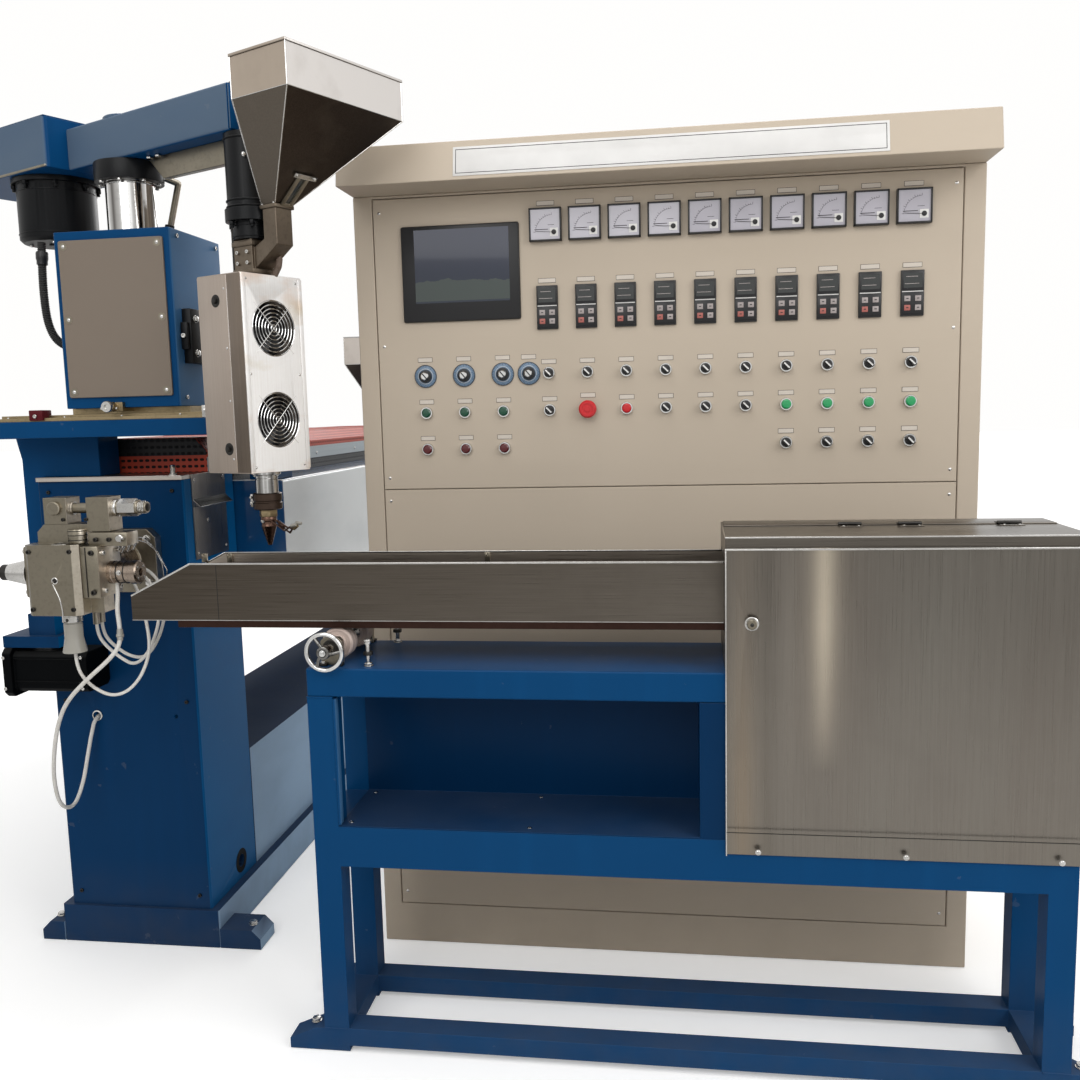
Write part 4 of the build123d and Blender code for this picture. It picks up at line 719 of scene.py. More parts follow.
# Each CAD part with its finish, and with its edges rounded as the real one's are
edgeRounding = {    # part: finish, width of the rounding
    "base_frame": (basePaintedShadeAndSheen, 0.003),
    "front_pedestal": (pedestalPaintedShadeAndLight, 0.003),
    "drip_plate": (hopperSteel, 0.001),
    "side_plate": (plateSteel, 0.0008),
    "machine_bed": (bedPaint, 0.003),
    "barrel_guard": (guardPaint, 0.002),
    "gearbox": (bedPaint, 0.003),
    "feed_throat": (headSteel, 0.001),
    "main_hopper": (hopperSteel, 0.0006),
    "barrel_end": (headSteel, 0.0015),
    "head_body": (headSteel, 0.002),
    "head_clamp": (headSteel, 0.002),
    "side_motor": (deepBlack, 0.003),
    "plate_supports": (bluePaint, 0.003),
    "top_plate": (bluePaint, 0.002),
    "guide_rail": (brass, 0.0008),
    "column_saddle": (brass, 0.0012),
    "column_box": (boxPaint, 0.002),
    "box_cover": (coverPaint, 0.0015),
    "lift_column": (columnChrome, 0.0015),
    "swing_arm": (armPaint, 0.0015),
    "arm_gusset": (headSteel, 0.0015),
    "belt_box": (armPaint, 0.002),
    "arm_motor": (blackPaint, 0.001),
    "screw_housing": (blackPaint, 0.0015),
    "feed_block": (feedSteel, 0.0015),
    "arm_hopper": (hopperSteel, 0.0005),
    "fan_box": (fanSteel, 0.001),
    "cabinet_body": (cabinetPaint, 0.0025),
    "cabinet_hood": (cabinetPaint, 0.0025),
    "instrument_panel": (cabinetPaint, 0.0015),
    "lower_panel": (cabinetPaint, 0.0015),
    "table_legs": (bluePaint, 0.004),
    "table_top": (bluePaint, 0.004),
    "table_tray": (trayPaint, 0.001),
    "cooling_trough": (steelAlongX, 0.0006),
    "roller_brackets": (headSteel, 0.0015),
    "tank_box": (steelUpright, 0.0006),
    "front_panel": (steelUpright, 0.0008),
    "lid_rear": (lidSteel, 0.0008),
    "lid_flap": (lidSteel, 0.0008),
    "head_fittings": (headSteel, 0.001),
    "ceramic_plug": (porcelain, 0.0012),
}
for name, (material, width) in edgeRounding.items():
    softened(name, material, width)
print("CAD parts finished:", len(edgeRounding))


# Control panel: meters, controllers, screen and switches, each in the place of its CAD part
panel = {
    "frame": 0.0035,    # width of a meter's black edge
    "label": (0.04, 0.0105, 0.0006), "labelGap": 0.006,
    "scale": (13, 88.0, 7.2),    # a meter's marks: how many, where they start, degrees between them
    "needle": (-86.0, 0.533),    # degrees at rest, and from one meter to the next
    "pointerTurn": radians(45), "dialMarks": 40,
}
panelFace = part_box("instrument_panel")[0].y


def onPanel(low, high):    # where a shape lies flat in the middle of a box, X to the right and Z up
    return Matrix.Translation(((low.x + high.x) / 2, panelFace, (low.z + high.z) / 2))


def flat(place, centre, size, depth, rise=0.0, tint=0, round=0.0, turn=0.0):
    wide, tall = size
    turned = place @ Matrix.Translation((centre[0], 0, centre[1])) @ Matrix.Rotation(turn, 4, "Y")
    laid(turned, (-wide / 2, -rise - depth, -tall / 2), (wide / 2, -rise, tall / 2), round, tint)


# Meters: a thin black edge round a pale face with an arc, a needle and a zero screw
labels = []    # where a label plate goes: the box below it, and its width
marks, scaleStart, scaleStep = panel["scale"]
needleRest, needleStep = panel["needle"]
for count, (low, high) in enumerate(solidsOf("panel_meters")):
    span, depth = high.x - low.x, panelFace - low.y
    edge, face = panel["frame"], depth - 0.003
    place = onPanel(low, high)
    for side in (-1, 1):
        flat(place, (side * (span - edge) / 2, 0), (edge, span), depth, 0, 0, 0.0006)
        flat(place, (0, side * (span - edge) / 2), (span, edge), depth, 0, 0, 0.0006)
    flat(place, (0, 0), (span - edge, span - edge), face, 0, 1)
    pivot = place @ Matrix.Translation((span * 0.22, -face, -span * 0.24))
    for tick in range(marks):    # scale of an arc
        turned = pivot @ Matrix.Rotation(-radians(scaleStart - tick * scaleStep), 4, "Y")
        size = 0.0045 if tick % 3 == 0 else 0.0025
        laid(turned, (-0.0003, -0.0004, span * 0.52), (0.0003, 0, span * 0.52 + size), 0, 2)
        if tick < marks - 1:
            half = pivot @ Matrix.Rotation(-radians(scaleStart - (tick + 0.5) * scaleStep), 4, "Y")
            laid(half, (-span * 0.034, -0.0004, span * 0.515), (span * 0.034, 0, span * 0.522), 0, 2)
    needle = pivot @ Matrix.Rotation(radians(needleRest + needleStep * (count % 3)), 4, "Y")
    laid(needle, (-0.0004, -0.0016, 0), (0.0004, -0.0011, span * 0.5), 0, 2)
    flat(place, (-span * 0.12, -span * 0.15), (span * 0.42, 0.0014), 0.0004, face, 2)
    flat(place, (span * 0.18, -span * 0.02), (span * 0.2, 0.0008), 0.0003, face, 2)
    flat(place, (span * 0.27, -span * 0.24), (span * 0.25, span * 0.25), 0.001, face, 3, 0.0004)
    zero = place @ Vector((span * 0.27, -face - 0.001, -span * 0.24))
    drum(span * 0.075, 0.0018, zero, outFront, 0.0004, 2, 20)
    labels.append((low, high, 1.0))
finished("meters", "panel_meters", [blackPlastic, meterFace, blackMark, whiteMark], True)

# Temperature controllers: a dark window over a white line and four keys
for low, high in solidsOf("panel_controllers"):
    wide, tall, depth = high.x - low.x, high.z - low.z, panelFace - low.y
    place = onPanel(low, high)
    flat(place, (0, 0), (wide, tall), depth * 0.6, 0, 0, 0.0012)
    flat(place, (0, tall * 0.26), (wide * 0.94, tall * 0.42), depth * 0.4, depth * 0.6, 0, 0.0012)
    flat(place, (0, tall * 0.27), (wide * 0.8, tall * 0.32), 0.0004, depth, 1)
    for line, share in ((0.355, 0.5), (0.2, 0.62)):
        flat(place, (-wide * 0.05, tall * line), (wide * share, tall * 0.012), 0.0002, depth + 0.0004, 4)
    flat(place, (0, tall * 0.035), (wide * 0.9, tall * 0.022), depth * 0.2, depth * 0.6, 2)
    flat(place, (0, -tall * 0.22), (wide * 0.94, tall * 0.46), depth * 0.25, depth * 0.6, 0, 0.001)
    for column, row in product((-1, 1), (0, 1)):    # the lower left key is red
        spot = (column * wide * 0.23, -tall * (0.12 + 0.2 * row))
        key = 3 if row == 1 and column == -1 else 4
        flat(place, spot, (wide * 0.26, tall * 0.12), 0.0016, depth * 0.85, key, 0.0005)
        flat(place, spot, (wide * 0.1, tall * 0.02), 0.0003, depth * 0.85 + 0.0016, 5)
    labels.append((low, high, 1.0))
controllerGlass = moulded("dark window", (0.014, 0.017, 0.016), 0.08, coat=0.8, dusty=0.0)
finished("controllers", "panel_controllers",
         [blackPlastic, controllerGlass, whiteMark, redKey, keyPlastic, blackMark], True)

# Touch screen: a rounded bezel with the display area off its middle
low, high = solidsOf("touch_screen")[0]
wide, tall, depth = high.x - low.x, high.z - low.z, panelFace - low.y
place = onPanel(low, high)
flat(place, (0, 0), (wide, tall), depth - 0.0012, 0, 0, 0.004)
flat(place, (0, 0), (wide - 0.006, tall - 0.006), 0.0012, depth - 0.0012, 0, 0.0006)
flat(place, (wide * 0.015, tall * 0.075), (wide * 0.8, tall * 0.76), 0.0004, depth, 1)


def screenGlass():
    f = Finish("screen glass")
    z = f.axis("Z")
    foot = low.z + tall * 0.215
    # painted reflection: the glass lighter low down, with a pale band under a wavy edge
    hills = f.noise(26.0, (1, 1, 0.2), 3.0) * 0.03
    band = (z < hills + foot + 0.03) * (z > foot)
    tone = f.mix(((z - foot) * 5.5).held(), (0.03, 0.036, 0.05), (0.014, 0.019, 0.046))
    tone = f.mix(band * 0.85, tone, (0.062, 0.076, 0.068))
    return f.shade(tone, 0.12, coat=0.3, coatRoughness=0.04, specular=0.2)


finished("screen", "touch_screen", [blackPlastic, screenGlass()], True)


# Switches and lamps
def ringed(place, radius, depth, tint):    # a bright ring round its cap
    lathe([(0, radius), (depth * 0.75, radius), (depth, radius * 0.93), (depth, radius * 0.78),
               (depth * 0.7, radius * 0.74), (depth * 0.7, 0)], place.translation, outFront, tint, 28)


def selector(place, radius, depth):
    ringed(place, radius, depth * 0.55, 0)
    point = place @ Vector((0, -depth * 0.35, 0))
    drum(radius * 0.72, depth * 0.5, point, outFront, 0.0008, 1, 28)
    turn = -panel["pointerTurn"]
    flat(place, (0, 0), (radius * 0.5, radius * 1.5), depth, depth * 0.8, 1, 0.0012, turn)
    flat(place, (0, 0), (radius * 0.22, radius * 1.15), 0.0006, depth * 1.8, 2, 0, turn)


def lamp(place, radius, depth, tint):
    ringed(place, radius, depth * 0.7, 0)
    point = place @ Vector((0, -depth * 0.5, 0))
    lathe([(0, radius * 0.76), (depth * 0.45, radius * 0.74), (depth * 0.62, radius * 0.55),
               (depth * 0.68, 0)], point, outFront, tint, 28)


def stopButton(place, radius, depth):
    lathe([(0, radius * 0.72), (depth * 0.55, radius * 0.6), (depth * 0.55, radius),
               (depth * 0.85, radius * 0.98), (depth, radius * 0.82), (depth, radius * 0.62),
               (depth * 0.94, radius * 0.58), (depth * 0.94, radius * 0.34), (depth, radius * 0.3),
               (depth, 0)], place.translation, outFront, 5, 36)


def scaleDial(place, radius, depth):
    drum(radius, depth * 0.5, place.translation, outFront, 0.0006, 6, 48)
    marks = panel["dialMarks"]
    for count in range(marks):
        long = 0.0042 if count % 4 == 0 else 0.0024
        turned = place @ Matrix.Rotation(2 * pi * count / marks, 4, "Y")
        laid(turned, (-0.0004, -depth * 0.5 - 0.0003, radius * 0.93 - long),
             (0.0004, -depth * 0.5, radius * 0.93), 0, 7)
    face, foot = (place @ Vector((0, -depth * share, 0)) for share in (0.5, 0.4))
    hoop(radius * 0.97, 0.0007, face, outFront, 7, 48, 6)
    hoop(radius * 0.66, 0.0005, face, outFront, 2, 40, 6)
    lathe([(0, radius * 0.58), (depth * 1.3, radius * 0.54), (depth * 1.5, radius * 0.46),
               (depth * 1.5, radius * 0.36)], foot, outFront, 1, 32)
    lathe([(0, radius * 0.36), (depth * 2.2, radius * 0.34), (depth * 2.5, radius * 0.28),
               (depth * 2.5, 0)], foot, outFront, 0, 28)
    flat(place, (0, 0), (radius * 0.1, radius * 0.56), 0.0005, depth * 2.9, 1, 0, -radians(40))


rows = {}
for low, high in solidsOf("panel_switches"):
    rows.setdefault(round((low.z + high.z) / 2, 2), []).append((low, high))
for row, height in enumerate(sorted(rows, reverse=True)):
    for count, (low, high) in enumerate(rows[height]):
        place = onPanel(low, high)
        radius, depth = (high.z - low.z) / 2, 0.012
        if row == 0 and radius > 0.022:
            scaleDial(place, radius, 0.005)
        elif row == 1 and radius > 0.017:
            stopButton(place, radius, 0.022)
        elif row > 0 and count < 3:
            lamp(place, radius, depth, 3 if row == 1 else 4)
        elif row == 1 and count == 5:
            lamp(place, radius, depth, 5)
        elif row == 1 and count > 8:
            lamp(place, radius, depth, 8)
        else:
            selector(place, radius, depth)
        labels.append((low, high, 0.85))
finished("switches", "panel_switches",
         [chrome, blackPlastic, whiteMark, darkGreenPlastic, darkRedPlastic, redPlastic, dialFace, blackMark,
          greenPlastic], True)
wide, tall, thick = panel["label"]
for low, high, scale in labels:    # bare plates in a dark edge
    middle = (0, (high.z - low.z) / 2 + panel["labelGap"] + tall / 2)
    flat(onPanel(low, high), middle, (wide * scale, tall), thick, 0, 1)
    flat(onPanel(low, high), middle, (wide * scale - 0.0016, tall - 0.0016), thick * 0.4, thick, 0)
finished("labels", "instrument_panel", [labelPlate, blackMark])
print("control panel fitted:", {height: len(rows[height]) for height in rows})

# Bare sign plate on the hood's sloping front, with a thin line round its edge
sign = {"left": 0.865, "right": 1.76, "low": 0.008, "high": 0.071, "thick": 0.0012, "line": 0.0012,
        "inset": 0.006, "lean": 0.016}
hoodLow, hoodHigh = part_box("cabinet_hood")
signPlace = (Matrix.Translation((0, hoodLow.y, hoodLow.z))
             @ Matrix.Rotation(-atan2(sign["lean"], hoodHigh.z - hoodLow.z), 4, "X"))
block((sign["left"], -sign["thick"], sign["low"]), (sign["right"], 0, sign["high"]), 0.0004, 0)
half = sign["line"] / 2
acrossSign = (sign["left"] + sign["inset"], sign["right"] - sign["inset"])
upSign = (sign["low"] + sign["inset"], sign["high"] - sign["inset"])
for left, right, foot, top in ((0, 1, 0, 0), (0, 1, 1, 1), (0, 0, 0, 1), (1, 1, 0, 1)):
    block((acrossSign[left] - half, -sign["thick"] - 0.0003, upSign[foot] - half),
          (acrossSign[right] + half, -sign["thick"], upSign[top] + half), 0, 1)
finished("sign", "cabinet_hood", [signPlate, blackMark], turn=signPlace)

# Cabinet: small screws of the panels, and at the back two doors with hinges, handles and louvres
cabinet = {"screw": 0.0028, "hinges": (0.35, 0.9, 1.45), "doorFoot": 0.11, "doorTop": 1.74,
           "doorThick": 0.0025, "louvres": 9, "firstLouvre": 0.3, "louvreStep": 0.028, "louvreWide": 0.28}
for name, foot, top in (("instrument_panel", 0.026, 0.03), ("lower_panel", 0.03, 0.026)):
    low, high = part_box(name)
    for x, z in product((low.x + 0.014, high.x - 0.014), (low.z + foot, (low.z + high.z) / 2, high.z - top)):
        panScrew((x, panelFace, z), outFront, cabinet["screw"], 0)
bodyLow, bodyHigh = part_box("cabinet_body")
for z, x in product(cabinet["hinges"], (bodyLow.x + 0.03, bodyHigh.x - 0.03)):
    drum(0.007, 0.07, (x, bodyHigh.y + 0.004, z), up, 0.001, 0, 16)
for x in (bodyLow.x + 0.62, bodyHigh.x - 0.62):    # lift-out handles
    block((x - 0.012, bodyHigh.y, 0.93), (x + 0.012, bodyHigh.y + 0.006, 1.07), 0.002, 0)
    block((x - 0.007, bodyHigh.y + 0.006, 0.96), (x + 0.007, bodyHigh.y + 0.009, 1.04), 0.002, 1)
finished("cabinet.fittings", "cabinet_body", [brightSteel, blackPlastic])
middle = (bodyLow.x + bodyHigh.x) / 2
for left, right in ((bodyLow.x + 0.045, middle - 0.003), (middle + 0.003, bodyHigh.x - 0.045)):
    block((left, bodyHigh.y, cabinet["doorFoot"]),
          (right, bodyHigh.y + cabinet["doorThick"], cabinet["doorTop"]), 0.001, 0)
    x, reach = (left + right) / 2, cabinet["louvreWide"] / 2
    for count in range(cabinet["louvres"]):
        z = cabinet["firstLouvre"] + cabinet["louvreStep"] * count
        block((x - reach, bodyHigh.y + 0.001, z), (x + reach, bodyHigh.y + 0.008, z + 0.014), 0.003, 0)
finished("cabinet.doors", "cabinet_body", [cabinetPaint])
print("cabinet finished")


# Swinging arm. Shapes are given along the arm (X), across it (Y) and up (Z), then turned with it.
armAngle = radians(-25.6)
columnLow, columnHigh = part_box("lift_column")
columnAxis = axisOf(columnLow, columnHigh)
armPlace = Matrix.Translation(columnAxis) @ Matrix.Rotation(armAngle, 4, "Z")
onArm = {name: solidsOf(name, 2, armPlace) for name in
         ("swing_arm", "belt_box", "arm_motor", "screw_housing", "feed_block", "arm_hopper", "fan_box",
          "fan_guards", "arm_nozzle")}


def around(count, radius, start=0.0):    # places on a circle
    for step in range(count):
        turn = start + 2 * pi * step / count
        yield radius * cos(turn), radius * sin(turn)


# Fan guards: wire rings on crossed wires, held by four screws, over a dark fan
fans = {
    "rings": 7, "wire": 0.0011,
    "screwAt": 0.051,    # from the middle of the guard, across and up
    "screw": 0.0034,
    "deep": 0.0298,    # from the front sheet to the back of the fan
    "hub": [(0, 0.021), (0.019, 0.021), (0.0215, 0.0189), (0.0215, 0)],
    "blades": 7, "bladeTilt": radians(34),
}
fanLow, fanHigh = onArm["fan_box"][0]
fansAt = [(Vector((high.x - 0.0012, (low.y + high.y) / 2, (low.z + high.z) / 2)), (high.y - low.y) / 2)
          for low, high in onArm["fan_guards"]]
for centre, radius in fansAt:
    for ring in range(1, fans["rings"] + 1):
        hoop(radius * (ring - 0.12) / fans["rings"], fans["wire"], centre, outAlong, 0, 48, 6)
    for side in (-1, 1):
        corner = Vector((0, fans["screwAt"], side * fans["screwAt"]))
        drum(fans["wire"] * 1.2, corner.length * 2, centre - corner, corner, 0, 0, 8)
        for end in (-1, 1):
            place = centre + corner * end
            hoop(0.0042, fans["wire"], place, outAlong, 0, 16, 6)
            panScrew(place - outAlong * 0.0008, outAlong, fans["screw"], 1)
finished("fan.guards", "fan_guards", [chrome, darkSteel], True, armPlace)

for centre, radius in fansAt:
    back = Vector((fanHigh.x - fans["deep"], centre.y, centre.z))
    # the dark disc behind the blades is painted shade inside the housing
    drum(radius, 0.0006, back, outAlong, 0, 0, 48)
    lathe(fans["hub"], back, outAlong, 1, 32)
    hoop(radius * 0.99, 0.0016, centre - outAlong * 0.002, outAlong, 0, 48, 6)
    for blade in range(fans["blades"]):
        turned = (Matrix.Translation(back + outAlong * 0.011)
                  @ Matrix.Rotation(2 * pi * blade / fans["blades"], 4, "X")
                  @ Matrix.Translation((0, 0, radius * 0.62)) @ Matrix.Rotation(fans["bladeTilt"], 4, "Z"))
        laid(turned, (-0.0008, -0.013, -radius * 0.3), (0.0008, 0.013, radius * 0.3), 0.0006, 1)
fanDark = moulded("fan shade", (0.01, 0.008, 0.009), 0.7, dusty=0.0)
finished("fans", "fan_guards", [fanDark, blackPlastic], turn=armPlace)

# Fan box: lapped sheets with their screws, and two dented bolt holes on each side
lap = {
    "seam": 0.408, "thick": 0.0011, "fold": 0.012,
    "dent": [(0.0002, 0.013), (0.001, 0.01), (0.0004, 0.0066)],
    "bolt": 0.0062,
    "boltsAt": ((0.373, 1.535), (0.388, 1.231)),
    "screw": 0.0022,
}
for near, far in ((fanLow.y - lap["thick"], fanLow.y), (fanHigh.y, fanHigh.y + lap["thick"])):
    block((fanLow.x + 0.002, near, fanLow.z + 0.003), (lap["seam"], far, fanHigh.z - 0.003), 0.0005, 0)
block((lap["seam"] + 0.0015, fanLow.y - 0.0005, fanLow.z + 0.002),
      (fanHigh.x - 0.001, fanLow.y, fanHigh.z - 0.002), 0.0002, 3)
for y in (fanLow.y + 0.0005, fanHigh.y - lap["fold"]):
    block((fanHigh.x, y, fanLow.z + 0.004),
          (fanHigh.x + 0.0009, y + lap["fold"] - 0.0005, fanHigh.z - 0.004), 0.0004, 0)
for y in (fanLow.y - lap["thick"], fanHigh.y + lap["thick"]):
    way = (0, copysign(1, y), 0)
    for s, z in lap["boltsAt"]:
        lathe(lap["dent"], (s, y, z), way, 1, 24)
        hexBolt((s, y, z), way, lap["bolt"], 1)
    for z in (fanLow.z + 0.03, fanLow.z + 0.15, fanHigh.z - 0.15, fanHigh.z - 0.03):
        panScrew((lap["seam"] - 0.008, y, z), way, lap["screw"], 2)
for y, z in product((fanLow.y + 0.014, fanHigh.y - 0.018),
                    (fanLow.z + 0.012, (fanLow.z + fanHigh.z) / 2, fanHigh.z - 0.012)):
    panScrew((fanHigh.x, y, z), outAlong, lap["screw"], 2)
finished("fan.box.sheets", "fan_box", [fanSteel, darkSteel, brightSteel, fanShade], turn=armPlace)

# Nozzle: barrel end, heater band with its terminals, nut and tapered tip. Outlines run down from its top.
nozzle = {
    "flange": [(0, 0), (0, 0.031), (0.006, 0.031), (0.0075, 0.029), (0.0075, 0.024), (0.014, 0.024),
               (0.015, 0.0228), (0.017, 0.0228), (0.018, 0.024), (0.046, 0.024), (0.046, 0.0)],
    "band": [(0.046, 0), (0.046, 0.0285), (0.048, 0.031), (0.062, 0.031), (0.0635, 0.0295), (0.066, 0.0295),
             (0.0675, 0.031), (0.08, 0.031), (0.082, 0.0285), (0.082, 0.0)],
    "tip": [(0.098, 0.0), (0.098, 0.0165), (0.101, 0.0175), (0.106, 0.0175), (0.108, 0.0155), (0.116, 0.0155),
            (0.118, 0.0165), (0.146, 0.0085), (0.158, 0.0052), (0.16, 0.004), (0.16, 0.0)],
    "nutAcross": 0.0195, "capScrew": 0.0026,
    "terminals": ((-0.009, 0.004, 5), (-0.002, -0.003, 3), (0.006, 0.01, 5)),    # across, bend, bead
}
nozzleLow, nozzleHigh = onArm["arm_nozzle"][0]
nozzleTop = axisOf(nozzleLow, nozzleHigh) + up * nozzleHigh.z
lathe(nozzle["flange"], nozzleTop, down, 0, 48)
for x, y in around(6, 0.0272, 0.3):
    socketBolt(nozzleTop + Vector((x, y, -0.0075)), down, nozzle["capScrew"], 2)
lathe(nozzle["band"], nozzleTop, down, 1, 48)
for y in (-0.0065, 0.0065):    # ears of the heater band, drawn together by a bolt
    block(nozzleTop + Vector((-0.046, y - 0.0015, -0.078)),
          nozzleTop + Vector((-0.028, y + 0.0015, -0.05)), 0.0008, 2)
drum(0.003, 0.028, nozzleTop + Vector((-0.039, -0.014, -0.057)), outRear, 0.0006, 2, 12)
hexBolt(nozzleTop + Vector((-0.039, -0.008, -0.07)), outFront, 0.0052, 2)
drum(nozzle["nutAcross"], 0.016, nozzleTop - up * 0.082, down, 0.0012, 3, 6)
lathe(nozzle["tip"], nozzleTop, down, 4, 36)
hexBolt(nozzleTop + Vector((0.0, -0.0165, -0.107)), outFront, 0.0042, 2)
for y, bend, bead in nozzle["terminals"]:
    turns = [(0.014, y, -0.104), (0.034, y, -0.11 - bend), (0.062, y - 0.004, -0.121 - bend),
             (0.084, y - 0.006, -0.118 + bend)]
    wire([nozzleTop + Vector(turn) for turn in turns], 0.002, 4, 8)
    drum(0.0036, 0.014, nozzleTop + Vector(turns[-1]), (1, 0.1, 0.5 - 60 * bend), 0.0008, bead, 14)
drum(0.005, 0.016, nozzleTop + Vector((0.034, 0.0, -0.113)), (0.95, -0.1, -0.3), 0.0012, 4, 16)
finished("nozzle", "arm_nozzle", [columnChrome, bandSteel, brightSteel, brass, tipSteel, porcelain],
         True, armPlace)

# Bearing housing: ribs, bolts under its flange, a grease nipple and the dome under the lifting eye
housing = {
    "flangeThick": 0.036, "rib": (0.0475, 0.0022), "footRib": (0.0385, 0.0014),
    "boltCircle": 0.046,
    "nipple": [(0, 0.004), (0.006, 0.004), (0.007, 0.0028), (0.011, 0.0034), (0.013, 0)],
    "dome": [(0, 0.034), (0.004, 0.034), (0.008, 0.031), (0.012, 0.02), (0.012, 0.0)],
}
housingLow, housingHigh = onArm["screw_housing"][0]
axis = axisOf(housingLow, housingHigh)
flangeFoot = housingLow.z + housing["flangeThick"]
for z in (flangeFoot + 0.03, flangeFoot + 0.042, housingHigh.z - 0.012):
    hoop(*housing["rib"], axis + up * z, up, 0, 48, 8)
for x, y in around(6, housing["boltCircle"], radians(20)):
    drum(0.0062, 0.009, axis + Vector((x, y, flangeFoot)), down, 0.0008, 0, 6)
    drum(0.0036, 0.014, axis + Vector((x, y, flangeFoot)), down, 0.0005, 0, 12)
lathe(housing["nipple"], axis + Vector((0.03, -0.0362, housingHigh.z - 0.05)), (0.64, -0.77, 0), 1, 12)
for z in (housingLow.z + 0.006, housingLow.z + 0.028):
    hoop(*housing["footRib"], axis + up * z, up, 0, 40, 6)
dome = axisOf(*onArm["screw_housing"][1]) + up * (onArm["swing_arm"][0][1].z)
lathe(housing["dome"], dome, up, 0, 40)
for x, y in around(4, 0.0295, radians(45)):
    socketBolt(dome + Vector((x, y, 0.004)), up, 0.0026, 1)
finished("bearing.fittings", "screw_housing", [blackPaint, brightSteel], turn=armPlace)

# Arm: end plate, bearing cap over the column, lid line and screws of the belt box, motor fittings
arm = {
    "cap": [(0, 0.048), (0.005, 0.048), (0.007, 0.046), (0.007, 0)],
    "capBolt": 0.0042, "lidThick": 0.003,
    "motorFoot": [(0, 0.026), (0.003, 0.026), (0.0045, 0.024), (0.0045, 0)],
    "motorBand": (0.0902, 0.0013), "motorBolt": 0.0048, "ribBolt": (0.0075, 0.007),
}
armLow, armHigh = onArm["swing_arm"][0]
beltLow, beltHigh = onArm["belt_box"][0]
motorLow, motorHigh = onArm["arm_motor"][0]
block((armHigh.x, armLow.y + 0.003, armLow.z + 0.003),
      (armHigh.x + 0.004, armHigh.y - 0.003, armHigh.z - 0.003), 0.0012, 0)
lathe(arm["cap"], (0, 0, armHigh.z), up, 0, 48)
for x, y in around(6, 0.037):
    socketBolt((x, y, armHigh.z + 0.005), up, arm["capBolt"], 2)
block((beltLow.x + 0.002, beltLow.y + 0.002, beltHigh.z),
      (beltHigh.x - 0.002, beltHigh.y - 0.002, beltHigh.z + arm["lidThick"]), 0.0012, 0)
for s, y in product((beltLow.x + 0.02, (beltLow.x + beltHigh.x) / 2, beltHigh.x - 0.02),
                    (beltLow.y + 0.016, beltHigh.y - 0.016)):
    panScrew((s, y, beltHigh.z + arm["lidThick"]), up, 0.004, 2)
block((beltLow.x + 0.004, beltLow.y - 0.0012, beltLow.z + 0.001),
      (beltHigh.x - 0.004, beltLow.y + 0.004, beltLow.z + 0.0065), 0.0008, 3)
motorAxis = axisOf(motorLow, motorHigh)
for x, y in around(8, 0.0935, radians(12)):
    drum(0.0075, 0.009, motorAxis + Vector((x, y, motorHigh.z - 0.012)), down, 0.0008, 1, 6)
    drum(0.0042, 0.016, motorAxis + Vector((x, y, motorHigh.z - 0.012)), down, 0.0006, 1, 12)
for z in (motorLow.z + 0.02, motorHigh.z - 0.03):
    hoop(*arm["motorBand"], motorAxis + up * z, up, 1, 64, 6)
for x, y in around(4, 0.066, radians(45)):
    socketBolt(motorAxis + Vector((x, y, motorLow.z)), down, arm["motorBolt"], 2)
lathe(arm["motorFoot"], motorAxis + up * motorLow.z, down, 1, 32)
for s, y in product((0.105, 0.135), (-0.02, 0.02)):    # bolts between the arm and the rib under it
    drum(*arm["ribBolt"], (s, y, armLow.z), down, 0.0008, 2, 6)
finished("arm.fittings", "swing_arm", [armPaint, blackPaint, brightSteel, headSteel], turn=armPlace)

# Feed: clamp plates and cap screws on the block, and a bent cooling pipe
feed = {
    "top": 1.662, "plateThick": 0.01, "capScrew": 0.0042,
    "collar": [(0, 0.03), (0.008, 0.03), (0.01, 0.027), (0.016, 0.027), (0.018, 0.024), (0.018, 0)],
    "pipe": [(0.431, 0.012, 1.64), (0.454, 0.013, 1.636), (0.462, 0.014, 1.622), (0.458, 0.014, 1.606),
             (0.444, 0.014, 1.589)],
    "pipeRadius": 0.0072,
    "union": [(0, 0.011), (0.006, 0.011), (0.008, 0.0085), (0.014, 0.0085), (0.014, 0)],
}
feedLow, feedHigh = onArm["feed_block"][0]
for z in (feedLow.z + 0.004, feed["top"] - 0.014):
    block((0.369, -0.031, z), (0.431, 0.031, z + feed["plateThick"]), 0.0012, 0)
for z, s in product((feedLow.z + 0.026, feedLow.z + 0.048), (0.385, 0.415)):
    socketBolt((s, -0.028, z), outFront, feed["capScrew"], 1)
lathe(feed["collar"], (0.4, 0, feed["top"]), up, 2, 40)
block((0.455, -0.026, 1.716), (0.501, 0.026, 1.724), 0.0012, 0)    # flange under the hopper
for s, y in product((0.461, 0.495), (-0.0225, 0.0225)):
    hexBolt((s, y, 1.724), up, 0.0036, 1)
wire(feed["pipe"], feed["pipeRadius"], 3, 12)
lathe(feed["union"], (0.428, 0.012, 1.64), outAlong, 4, 20)
block((0.362, -0.0245, 1.6), (0.369, 0.0245, 1.69), 0.0015, 2)    # bracket on the column side
finished("feed.fittings", "feed_block", [feedSteel, brightSteel, darkSteel, hoseBrown, brass],
         turn=armPlace)

